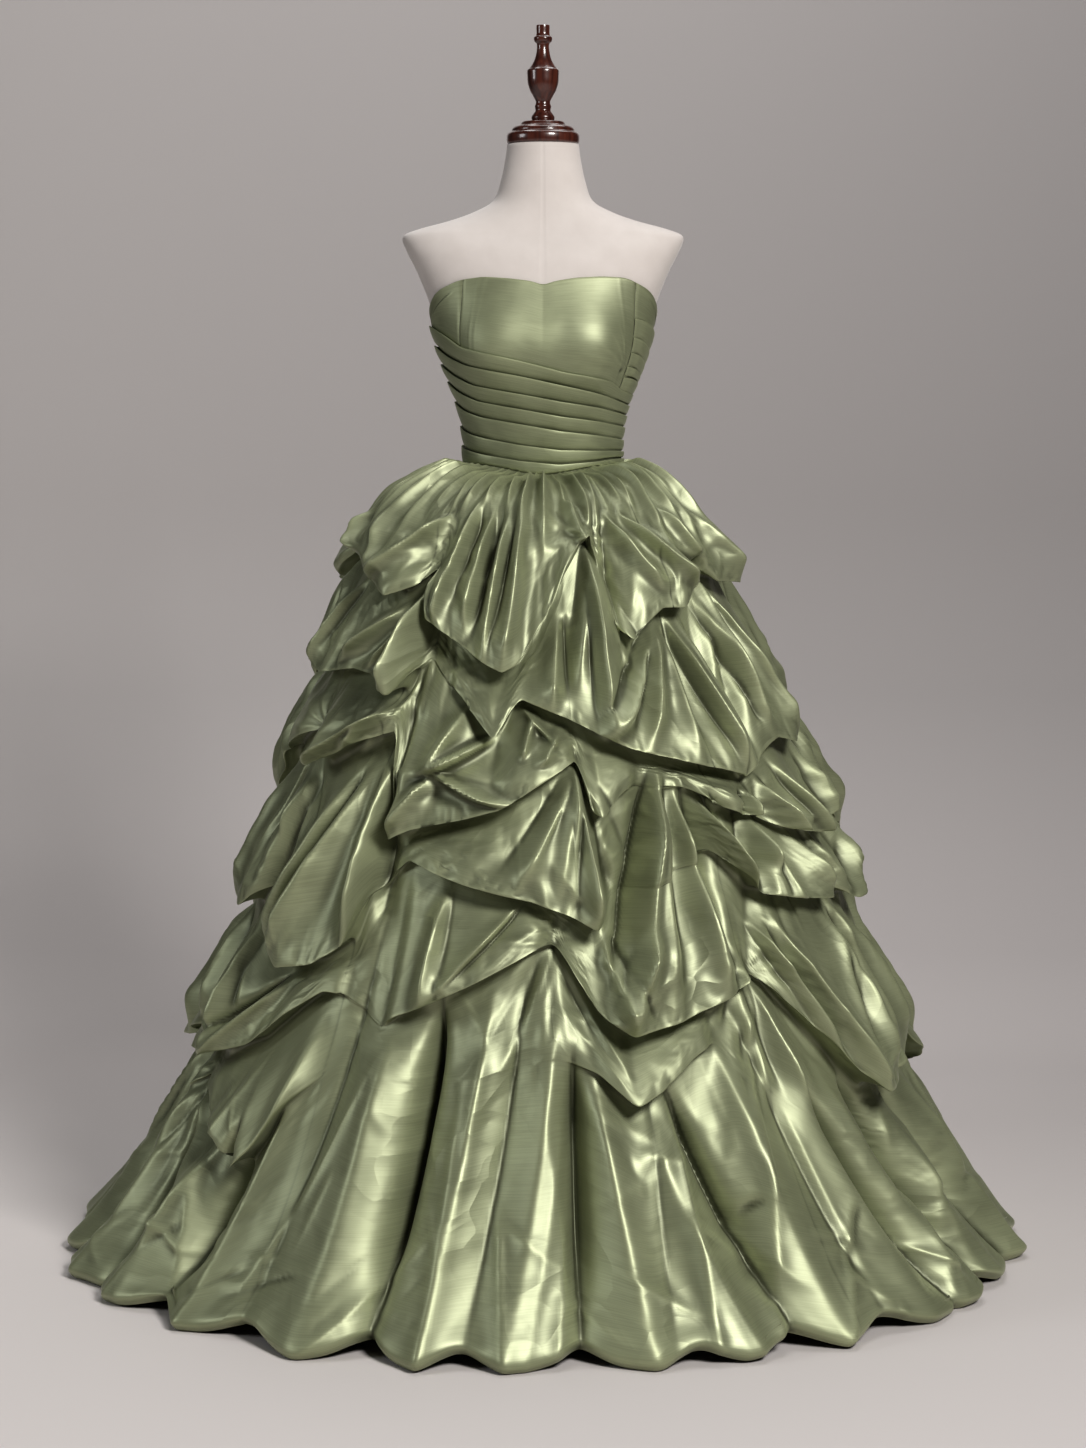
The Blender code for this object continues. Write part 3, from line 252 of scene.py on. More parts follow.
def wood_finish():
    """Dark red-brown varnished hardwood."""
    material, shader = new_finish("turned_wood", (0.05, 0.014, 0.009), 0.30,
                                  Coat_Weight=0.8, Coat_Roughness=0.09)
    place_in = add_node(material, "ShaderNodeTexCoord").outputs["Object"]
    grain = add_node(material, "ShaderNodeTexNoise", Scale=1.0, Detail=5.0, Distortion=0.8)
    mapping = add_node(material, "ShaderNodeMapping")
    mapping.inputs["Scale"].default_value = (150, 150, 9)
    join(material, (place_in, mapping.inputs["Vector"]), (mapping.outputs["Vector"], grain.inputs["Vector"]),
         (ramp(material, grain.outputs["Fac"], (0.32, (0.028, 0.007, 0.005)), (0.5, (0.062, 0.016, 0.010)),
               (0.72, (0.105, 0.030, 0.018))), shader.inputs["Base Color"]))
    bumps(material, shader, (grain.outputs["Fac"], 0.12, 0.2 * MM))
    return material


def metal_finish():
    """Zip metal, brushed and a little worn."""
    material, shader = new_finish("zip_metal_finish", (0.42, 0.43, 0.36), 0.32, 1.0)
    place_in = add_node(material, "ShaderNodeTexCoord").outputs["Object"]
    brushed = add_node(material, "ShaderNodeTexNoise", Scale=900.0, Detail=2.0)
    rough = add_node(material, "ShaderNodeMapRange", To_Min=0.22, To_Max=0.5)
    join(material, (place_in, brushed.inputs["Vector"]), (brushed.outputs["Fac"], rough.inputs["Value"]),
         (rough.outputs["Result"], shader.inputs["Roughness"]))
    bumps(material, shader, (brushed.outputs["Fac"], 0.1, 0.05 * MM))
    return material


def tape_finish():
    """Woven zip tape, ribbed across."""
    material, shader = new_finish("zip_tape_finish", (0.13, 0.165, 0.08), 0.72, Sheen_Weight=0.2)
    place_in = add_node(material, "ShaderNodeTexCoord").outputs["Object"]
    rib = add_node(material, "ShaderNodeTexWave", bands_direction="Z", Scale=260.0, Distortion=0.3)
    join(material, (place_in, rib.inputs["Vector"]),
         (ramp(material, rib.outputs["Fac"], (0.2, (0.10, 0.13, 0.06)), (0.8, (0.15, 0.19, 0.095))),
          shader.inputs["Base Color"]))
    bumps(material, shader, (rib.outputs["Fac"], 0.4, 0.15 * MM))
    return material


linen, wood, zip_metal, zip_tape_cloth = linen_finish(), wood_finish(), metal_finish(), tape_finish()
finishes = (skirt_taffeta, bodice_taffeta, linen, wood, zip_metal, zip_tape_cloth)
print("finishes:", ", ".join(finish.name for finish in finishes))

# %% [markdown]
# ## Sheets of points
# All the cloth here is made as sheets of points: rows go down the gown and columns
# go round it.  One helper turns such a sheet into a mesh with smooth normals and a
# cloth-length UV map.  Bearings are degrees round the gown: 0 at the centre front,
# positive to the right as seen from the front.

# %% Sheets of points
def place(bearing, radius, height):
    """World points from bearings in degrees, radii and heights."""
    turn = np.radians(bearing)
    return np.stack([radius * np.sin(turn), -radius * np.cos(turn), height + 0 * turn], -1)


def smooth(t):
    """0 to 1 with soft ends."""
    t = np.clip(t, 0.0, 1.0)
    return t * t * (3.0 - 2.0 * t)


def wrap(bearing):
    """The same bearing between -180 and 180 degrees."""
    return (np.asarray(bearing) + 180.0) % 360.0 - 180.0


def sheet_normals(points, closed=False):
    """Outward normals of a sheet [row, column, xyz]; closed sheets go all the way round."""
    down = np.gradient(points, axis=0)
    if closed:
        across = np.roll(points, -1, axis=1) - np.roll(points, 1, axis=1)
    else:
        across = np.gradient(points, axis=1)
    normal = np.cross(down, across)
    return normal / (np.linalg.norm(normal, axis=-1, keepdims=True) + 1e-12)


def sheet_mesh(name, points, material, normals=None, cloth=None, closed=False):
    """An object from a sheet of points, facing outwards."""
    rows, columns = points.shape[:2]
    index = np.arange(rows * columns).reshape(rows, columns)
    if closed:
        index = np.concatenate([index, index[:, :1]], axis=1)
    quads = np.stack([index[:-1, :-1], index[1:, :-1], index[1:, 1:], index[:-1, 1:]], -1).reshape(-1, 4)
    mesh = bpy.data.meshes.new(name)
    mesh.vertices.add(rows * columns)
    mesh.vertices.foreach_set("co", np.ascontiguousarray(points, dtype=np.float32).ravel())
    mesh.loops.add(quads.size)
    mesh.loops.foreach_set("vertex_index", quads.ravel().astype(np.int32))
    mesh.polygons.add(len(quads))
    mesh.polygons.foreach_set("loop_start", np.arange(0, quads.size, 4, dtype=np.int32))
    mesh.update(calc_edges=True)
    mesh.validate()
    mesh.shade_smooth()
    if cloth is None:
        step = np.linalg.norm(np.diff(points, axis=0), axis=-1).mean(axis=1)
        down = np.concatenate([[0], np.cumsum(step)])[:, None] + np.zeros(columns)
        side = np.linalg.norm(np.diff(points, axis=1), axis=-1).mean(axis=0)
        across = np.concatenate([[0], np.cumsum(side)])[None, :] + np.zeros((rows, 1))
        cloth = np.stack([across, down], -1)
    layer = mesh.uv_layers.new(name="cloth")
    layer.data.foreach_set("uv", cloth.reshape(-1, 2)[quads.ravel()].astype(np.float32).ravel())
    if normals is not None:
        mesh.normals_split_custom_set_from_vertices(normals.reshape(-1, 3).tolist())
    mesh.materials.append(material)
    item = bpy.data.objects.new(name, mesh)
    bpy.context.scene.collection.objects.link(item)
    return item


def dress(piece, node):
    """The piece stands for a solid, which is hidden, and rides with the gown."""
    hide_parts(node)
    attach(piece, "gown_and_form")


def cloth_sheet(points):
    """Measure a sheet's steps round and down it, and its area; the results are not used."""
    across = np.linalg.norm(np.diff(points, axis=1), axis=-1)
    down = np.linalg.norm(np.diff(points, axis=0), axis=-1)
    a, b = points[1:, 1:] - points[:-1, :-1], points[1:, :-1] - points[:-1, 1:]
    area = float(0.5 * np.linalg.norm(np.cross(a, b), axis=-1).sum())


print("sheet helpers ready")

# %% [markdown]
# ## The dress form
# The form is a papier-mache torso covered in linen: no arms or head, flat plates
# at the shoulders, a seam down the centre front.  It could be sculpted, but a table
# of its level sections is easier to hold to size.  The same sections make the
# solid; here a curve passes through them and 160 points go round each.

# %% The dress form's sections
# height, half width, depth to the front, depth to the back, squareness
TORSO_SECTIONS = (
    (0.800, 0.118, 0.088, 0.105, 2.0),
    (0.860, 0.150, 0.105, 0.128, 2.1),
    (0.960, 0.150, 0.104, 0.122, 2.1),
    (1.050, 0.119, 0.088, 0.092, 2.1),
    (1.110, 0.1065, 0.082, 0.078, 2.1),
    (1.140, 0.1055, 0.084, 0.078, 2.1),
    (1.170, 0.1090, 0.090, 0.080, 2.1),
    (1.200, 0.1170, 0.097, 0.084, 2.1),
    (1.230, 0.1290, 0.104, 0.088, 2.1),
    (1.265, 0.1420, 0.109, 0.092, 2.1),
    (1.300, 0.1510, 0.109, 0.096, 2.1),
    (1.335, 0.1600, 0.102, 0.099, 2.2),
    (1.375, 0.1760, 0.092, 0.098, 2.4),
    (1.405, 0.1910, 0.080, 0.092, 2.6),
    (1.424, 0.1960, 0.068, 0.084, 2.6),
    (1.434, 0.1760, 0.063, 0.078, 2.4),
    (1.446, 0.1320, 0.059, 0.071, 2.2),
    (1.458, 0.0980, 0.056, 0.065, 2.1),
    (1.474, 0.0700, 0.054, 0.060, 2.0),
    (1.500, 0.0595, 0.053, 0.057, 2.0),
    (1.530, 0.0530, 0.051, 0.053, 2.0),
    (1.552, 0.0500, 0.050, 0.050, 2.0),
)
BUST_HEIGHT, BUST_BEARING, BUST_RISE = 1.268, 33.0, 0.020


def cup_share(bearing, height):
    """1 at the fullest point of each side of the bust, dying out round it."""
    share = np.exp(-((np.abs(wrap(bearing)) - BUST_BEARING) / 22.0) ** 2)
    return share * np.exp(-((height - BUST_HEIGHT) / 0.046) ** 2)


def torso_radius(bearing, height, sections=TORSO_SECTIONS):
    """Distance from the axis to the dress form."""
    bearing, height = np.broadcast_arrays(np.asarray(wrap(bearing), float), height)
    table = np.array(sections)
    half, front, back, power = (np.interp(height, table[:, 0], table[:, i]) for i in range(1, 5))
    turn = np.radians(bearing)
    depth = np.where(np.cos(turn) >= 0, front, back)
    x_part = (np.abs(np.sin(turn)) / half) ** power
    y_part = (np.abs(np.cos(turn)) / depth) ** power
    return (x_part + y_part) ** (-1.0 / power) + BUST_RISE * cup_share(bearing, height)


print("form", round(float(torso_radius(90, 1.424)) * 2, 3), "m across the shoulders")

# %% The linen torso
def eased_profile(rows, steps):
    """A smooth curve through a table's rows, `steps` points to each gap (Catmull-Rom)."""
    table = np.array(rows, float)
    padded = np.concatenate([2 * table[:1] - table[1:2], table, 2 * table[-1:] - table[-2:-1]])
    t = (np.arange(steps) / steps)[:, None]
    out = []
    for a, b, c, d in zip(padded[:-3], padded[1:-2], padded[2:-1], padded[3:]):
        out.append(0.5 * ((2 * b) + (c - a) * t + (2 * a - 5 * b + 4 * c - d) * t ** 2
                          + (3 * b - a - 3 * c + d) * t ** 3))
    return np.concatenate(out + [table[-1:]])


def linen_torso():
    """The covered torso, with its front seam and flat ends."""
    sections = eased_profile(TORSO_SECTIONS, 5)
    heights = sections[:, 0][:, None]
    bearings = np.linspace(-180, 180, 161)[:-1][None, :]
    radius = torso_radius(bearings, heights, sections)
    seam = np.exp(-(wrap(bearings) / 1.1) ** 2) + np.exp(-(wrap(bearings + 180) / 1.1) ** 2)
    radius = radius - 0.9 * MM * seam * smooth((heights - 1.2) / 0.1)
    points = place(bearings + 0 * heights, radius, heights)[::-1]
    lid = points[:1] * np.array([0.2, 0.2, 1.0])
    base = points[-1:] * np.array([0.2, 0.2, 1.0])
    return sheet_mesh("linen_torso", np.concatenate([lid, points, base]), linen, closed=True)


torso = linen_torso()
dress(torso, "form_torso")
print("torso", len(torso.data.polygons), "faces")

# %% [markdown]
# ## Turned wood
# The neck cap, its urn finial, the pole's collar, the pole and the round foot come
# off a lathe.  A lathe is a profile spun round an axis, and so is this: the solid's
# profile, with more points along it and 96 round it.

# %% Turned wood
NECK_CAP_PROFILE = (
    (1.5525, 0.0470), (1.5545, 0.0500), (1.5610, 0.0508), (1.5665, 0.0495),
    (1.5700, 0.0440), (1.5730, 0.0435), (1.5765, 0.0398), (1.5785, 0.0320),
    (1.5815, 0.0304), (1.5832, 0.0290),
)
FINIAL_PROFILE = (
    (1.5835, 0.0148), (1.5870, 0.0160), (1.5905, 0.0160), (1.5950, 0.0132),
    (1.5990, 0.0106), (1.6045, 0.0114), (1.6080, 0.0103), (1.6120, 0.0103),
    (1.6192, 0.0142), (1.6260, 0.0180), (1.6360, 0.0212), (1.6470, 0.0220),
    (1.6540, 0.0220), (1.6565, 0.0196), (1.6621, 0.0155), (1.6704, 0.0113),
    (1.6814, 0.0088), (1.6900, 0.0086), (1.6935, 0.0118), (1.6990, 0.0128),
    (1.7030, 0.0094), (1.7150, 0.0092), (1.7160, 0.0082),
)
COLLAR_PROFILE = ((0.7680, 0.0240), (0.7720, 0.0290), (0.7940, 0.0290), (0.7997, 0.0330))
FOOT_PROFILE = ((0.0, 0.198), (0.003, 0.200), (0.010, 0.200), (0.016, 0.190),
                (0.020, 0.034), (0.030, 0.030), (0.032, 0.026))
POLE_PROFILE = ((0.0323, 0.016), (0.40, 0.016), (0.7677, 0.016))


def turned(name, node, profile, steps=4, sides=96):
    """A lathe-turned piece from (height, radius) rows, closed at both ends."""
    rows = eased_profile(profile, steps)[::-1]
    bearings = np.linspace(-180, 180, sides + 1)[:-1][None, :]
    points = place(bearings + 0 * rows[:, :1], rows[:, 1:] + 0 * bearings, rows[:, :1])
    squash = np.array([0.02, 0.02, 1.0])
    points = np.concatenate([points[:1] * squash, points[:1], points, points[-1:], points[-1:] * squash])
    piece = sheet_mesh(name, points, wood, closed=True)
    piece.data.set_sharp_from_angle(angle=radians(40))
    dress(piece, node)
    return piece


lathe_work = [turned("neck_cap_wood", "form_neck_cap", NECK_CAP_PROFILE),
              turned("finial_wood", "form_finial", FINIAL_PROFILE),
              turned("collar_wood", "form_collar", COLLAR_PROFILE),
              turned("pole_wood", "form_pole", POLE_PROFILE),
              turned("foot_wood", "stand_foot", FOOT_PROFILE, steps=2)]
print("turned pieces:", len(lathe_work))

# %% [markdown]
# ## The bodice
# The bodice is fitted and boned: a smooth centre front between two princess seams,
# a side front on each side, and a long drape of pleats that runs from under one arm
# across the midriff.  Each pleat is a fold whose upper edge stands proud and laps
# over the cloth above it.  Rows of points follow each fold exactly, so the step at
# the edge stays crisp, which a displacement texture would blur.

# %% The bodice's lines
SEAM_GAP, CLOTH, BODICE_EASE = 0.3 * MM, 2.0 * MM, 2.2 * MM
WAIST_HEIGHT, WAIST_DIP = 1.108, 15 * MM
PRINCESS_LEFT, PRINCESS_RIGHT, SIDE_BEARING = -53.0, 60.0, 96.0
# bearing, height of the top edge
NECKLINE = (
    (-180, 1.262), (-150, 1.266), (-120, 1.280), (-96, 1.302), (-84, 1.320),
    (-76, 1.333), (-68, 1.347), (-55, 1.3610), (-42, 1.3650), (-25, 1.3625),
    (-10, 1.359), (0, 1.3535), (10, 1.359), (25, 1.3635), (42, 1.3655), (55, 1.3640),
    (68, 1.348), (76, 1.334), (84, 1.320), (96, 1.302), (120, 1.280), (150, 1.266),
    (180, 1.262),
)
# height of each fold's upper edge, at these bearings, top fold first
PLEAT_BEARINGS = (-96, -84, -66, -50, -20, 14, 47, 62, 76, 96)
DRAPE_FOLDS = (
    (1.2950, 1.3020, 1.2870, 1.2690, 1.2530, 1.2340, 1.2220, 1.2100, 1.2050, 1.2040),
    (1.2720, 1.2740, 1.2560, 1.2440, 1.2310, 1.2160, 1.2020, 1.1950, 1.1900, 1.1880),
    (1.2480, 1.2460, 1.2300, 1.2170, 1.2060, 1.1940, 1.1850, 1.1800, 1.1760, 1.1740),
    (1.2240, 1.2210, 1.2060, 1.1950, 1.1850, 1.1740, 1.1670, 1.1630, 1.1600, 1.1580),
    (1.1960, 1.1930, 1.1810, 1.1730, 1.1640, 1.1540, 1.1480, 1.1450, 1.1420, 1.1400),
    (1.1620, 1.1590, 1.1500, 1.1440, 1.1350, 1.1280, 1.1270, 1.1270, 1.1260, 1.1250),
    (1.1350, 1.1320, 1.1260, 1.1210, 1.1130, 1.1080, 1.1120, 1.1150, 1.1160, 1.1160),
)


def along(bearings, keys, values):
    """A smooth line through (bearing, value) keys."""
    keys, values = np.array(keys, float), np.array(values, float)
    reach = (-3.0, -1.5, 0.0, 1.5, 3.0)
    return sum(np.interp(bearings + r, keys, values) for r in reach) / len(reach)


def neckline(bearings):
    """Height of the bodice's top edge."""
    return along(bearings, *zip(*NECKLINE))


def waist_seam(bearing):
    """Height of the waist seam: level at the back, dipping at the centre front."""
    return WAIST_HEIGHT - WAIST_DIP * np.exp(-(wrap(bearing) / 38.0) ** 2)


def bodice_radius(bearing, height):
    """The inside of the bodice, just off the dress form; it spans the hollow between the cups."""
    hollow = np.exp(-((np.abs(wrap(bearing)) + BUST_BEARING) / 22.0) ** 2)
    hollow = hollow + 0.45 * np.exp(-(wrap(bearing) / 17.0) ** 2)
    hollow = hollow * np.exp(-((height - BUST_HEIGHT) / 0.046) ** 2)
    hollow = hollow + 0.3 * cup_share(bearing, height - 0.045) + 0.2 * cup_share(bearing, height + 0.055)
    return torso_radius(bearing, height) + BODICE_EASE + BUST_RISE * hollow


print("bodice", round(float(neckline(0) - waist_seam(0)), 3), "m deep at the centre front")

# %% [markdown]
# Each bodice piece is one sheet of points.  Its rows give heights and how far the
# cloth stands off the piece under it.  A turned edge goes over the top and down
# inside, so the rim looks as thick as folded cloth does.  The radius is averaged over
# a few heights, because the form's sections would else show as bands of light.

# %% Bodice sheets
EASED_OVER = (-12 * MM, 0, 0, 12 * MM)      # heights that the radius is averaged over
SEAM_PINCH = 1.0 * MM
# the turned edge: how far below the top edge and how far inside, from its inner end
TURNED_EDGE = ((9 * MM, 1.9 * MM), (2 * MM, 1.9 * MM), (0.2 * MM, 1.6 * MM),
               (-0.4 * MM, 0.9 * MM), (-0.1 * MM, 0.3 * MM))


def bodice_sheet(name, node, bearings, heights, raised, rim=True):
    """A fitted piece from rows of heights and rows of extra thickness."""
    bearing_grid = np.broadcast_to(bearings, heights.shape)
    radius = sum(bodice_radius(bearing_grid, heights + shift) for shift in EASED_OVER) / len(EASED_OVER)
    radius = radius + CLOTH + raised
    seam = sum(np.exp(-((bearing_grid - edge) / 0.8) ** 2) for edge in (bearings[0], bearings[-1]))
    points = place(bearing_grid, radius - SEAM_PINCH * seam, heights)
    cut = points
    if rim:
        rows = [place(bearings, radius[0] - inward, heights[0] - drop) for drop, inward in TURNED_EDGE]
        points = np.concatenate([np.stack(rows), points])
    piece = sheet_mesh(name, points, bodice_taffeta)
    dress(piece, node)
    cloth_sheet(cut)
    return piece


def columns_between(first, last, step=0.8):
    """Bearings from seam to seam, half a seam gap inside both."""
    gap = np.degrees(0.5 * SEAM_GAP / 0.12)
    return np.linspace(first + gap, last - gap, max(3, int(round((last - first) / step))) + 1)


# How a fold runs, as (distance, share of its rise): out of the slot behind its edge,
# below the edge in mm; across its face, in shares of its depth; and in at its foot,
# above the next edge in mm.
FOLD_EDGE = ((2.0, -0.25), (1.3, 0.45), (0.3, 0.78), (0.0, 0.93), (0.5, 1.0))
FOLD_FACE = ((0.14, 1.00), (0.32, 0.98), (0.50, 0.88), (0.68, 0.70), (0.82, 0.50))
FOLD_FOOT = ((2.6, 0.30), (1.3, 0.08), (0.3, -0.14), (-0.9, -0.32))


def fold_rows(edges, rise, plain_top=False):
    """Rows between fold edges [fold, bearing]; with plain_top the first stretch has no edge."""
    heights, raised = [], []
    for k, (upper, lower) in enumerate(zip(edges[:-1], edges[1:])):
        plain, last = plain_top and k == 0, k == len(edges) - 2
        tight = np.clip((upper - lower) / (9 * MM), 0.04, 1.0)
        lift = rise * (0.35 + 0.65 * tight) * (0.12 if plain else 1.0)
        if not plain:
            for below, share in FOLD_EDGE:
                heights.append(upper - below * MM * tight)
                raised.append(lift * (max(share, 0.15) if k == 0 else share))
        for share, out in ((0.0, 1.0),) + FOLD_FACE if plain else FOLD_FACE:
            heights.append(upper + (lower - upper) * share)
            raised.append(lift * out)
        for above, share in FOLD_FOOT[:2] if last else FOLD_FOOT:
            heights.append(lower + above * MM * tight)
            raised.append(rise * (0.35 + 0.65 * tight) * min(share, 0.12) if plain else lift * share)
    heights.append(edges[-1])
    raised.append(0.1 * rise + 0 * edges[-1])
    return np.array(heights), np.array(raised)


def boning(bearings, heights, bones, height=0.35 * MM):
    """Faint upright ridges where bones are cased behind the cloth."""
    return sum(height * np.exp(-((bearings - b) / 0.9) ** 2) for b in bones) + 0 * heights


SEWN_UNDER = 3 * MM          # a smooth piece ends this far above the drape's first edge
front_bearings = columns_between(PRINCESS_LEFT, PRINCESS_RIGHT)
share = np.linspace(0, 1, 60)[:, None]
top, bottom = neckline(front_bearings), along(front_bearings, PLEAT_BEARINGS, DRAPE_FOLDS[0])
heights = top + (bottom - SEWN_UNDER - top) * share
pulls = boning(front_bearings, heights, (-44, -40, 51))
KNOT = (56.0, 1.238)         # bearing and height where the drape is pinned
# pull lines from there: bearing and height where each ends, rise in mm
PULL_LINES = ((18, 1.262, 1.0), (32, 1.272, 1.3), (40, 1.290, 0.8), (46, 1.305, 0.9))
for to_bearing, to_height, rise in PULL_LINES:
    way = np.clip((KNOT[0] - front_bearings) / (KNOT[0] - to_bearing), -0.1, 1.1)
    off_line = heights - (KNOT[1] + (to_height - KNOT[1]) * way)
    fade = smooth(way / 0.2) * smooth((1.1 - way) / 0.7)
    pulls = pulls + rise * MM * fade / (1 + (off_line / (3.5 * MM)) ** 2)
from_knot = np.hypot(np.radians(front_bearings - KNOT[0] + 2.0) * 0.12, heights - KNOT[1])
pulls = pulls - 2.5 * MM * np.exp(-(from_knot / (4 * MM)) ** 2)
bodice_sheet("centre_front_cloth", "bodice_center_front", front_bearings, heights, pulls)

# %% The side fronts
left_bearings = columns_between(-SIDE_BEARING, PRINCESS_LEFT)
top = neckline(left_bearings)
bottom = along(left_bearings, PLEAT_BEARINGS, DRAPE_FOLDS[0])
heights = top + (bottom - SEWN_UNDER - top) * share
short_fold = 1.305 + 0.0016 * (left_bearings + 84)
below = short_fold - heights
tuck = 1.8 * MM * smooth(below / (1.2 * MM)) * np.exp(-np.clip(below, 0, 1) / 0.012)
tuck = tuck * smooth((left_bearings + 92) / 10) * smooth((-57 - left_bearings) / 5)
bodice_sheet("side_front_left_cloth", "bodice_side_front_left", left_bearings, heights, tuck)

right_bearings = columns_between(PRINCESS_RIGHT, SIDE_BEARING)
across = (right_bearings - right_bearings[0]) / (right_bearings[-1] - right_bearings[0])
top = neckline(right_bearings)
bottom = along(right_bearings, PLEAT_BEARINGS, DRAPE_FOLDS[0]) - SEWN_UNDER
# short slanting pleats: height where each leaves the seam, and how far it falls from there
SIDE_PLEATS = ((1.309, 0.030), (1.283, 0.032), (1.262, 0.027), (1.243, 0.022), (1.228, 0.012))
side_folds = [top]
for start, fall in SIDE_PLEATS:
    side_folds.append(np.clip(start - fall * across ** 1.3, bottom + 2 * MM, top - 2 * MM))
side_folds.append(bottom)
heights, raised = fold_rows(np.array(side_folds), (0.8 + 3.6 * smooth(across / 0.25)) * MM, plain_top=True)
bodice_sheet("side_front_right_cloth", "bodice_side_front_right", right_bearings, heights, raised)

# %% The midriff drape and the backs
drape_bearings = np.concatenate([columns_between(-SIDE_BEARING, PRINCESS_LEFT), front_bearings[1:-1],
                                 columns_between(PRINCESS_RIGHT, SIDE_BEARING)])
edges = [along(drape_bearings, PLEAT_BEARINGS, fold) for fold in DRAPE_FOLDS] + [waist_seam(drape_bearings)]
edges = [np.maximum(edge, edges[-1] + 1 * MM * (len(edges) - 1 - k)) for k, edge in enumerate(edges)]
uneven = 1 + 0.22 * np.sin(np.radians(drape_bearings * 4.1) + 0.7)
uneven = uneven + 0.12 * np.sin(np.radians(drape_bearings * 11.0))
heights, raised = fold_rows(np.array(edges), 3.8 * MM * uneven)
bodice_sheet("midriff_pleats", "midriff_drape", drape_bearings, heights, raised, rim=False)

ZIP_HALF_WIDTH = 4.0 * MM
zip_bearing = float(np.degrees(ZIP_HALF_WIDTH / 0.082))
BACK_PLEATS = (0.28, 0.42, 0.56, 0.70, 0.84)        # shares of the back's depth
for side, node in ((1, "bodice_back_right"), (-1, "bodice_back_left")):
    bearings = columns_between(SIDE_BEARING, 180.0 - zip_bearing)
    top, bottom = neckline(bearings), waist_seam(bearings)
    dip = 0.010 * smooth((bearings - 100) / 70)
    folds = [top] + [top + (bottom - top) * depth - dip for depth in BACK_PLEATS] + [bottom]
    heights, raised = fold_rows(np.array(folds), 2.2 * MM, plain_top=True)
    if side < 0:
        bearings, heights, raised = -bearings[::-1], heights[:, ::-1], raised[:, ::-1]
    bodice_sheet(node.replace("bodice_", "") + "_cloth", node, bearings, heights, raised)

# %% [markdown]
# ## The skirt: where the cloth is caught up
# The skirt is one very full, very long layer of taffeta.  It is gathered into the
# waist, then caught up by hidden tacks in five uneven rows, so that it falls between
# them in swags.  Below the last row it drops to the floor in long flutes.  The shape
# is kept in short tables: the lower edge of each row of swags with how much cloth it
# takes up, and the standing folds.  The solid skirt uses the same rows.

# %% The skirt's tables
# height, radius of the skirt under its swags
SKIRT_BODY = (
    (1.000, 0.248), (0.950, 0.266), (0.900, 0.287), (0.850, 0.303),
    (0.780, 0.334), (0.700, 0.366), (0.620, 0.394), (0.550, 0.417),
    (0.480, 0.440), (0.400, 0.467), (0.300, 0.505), (0.200, 0.548),
    (0.100, 0.598), (0.040, 0.638), (0.000, 0.660),
)
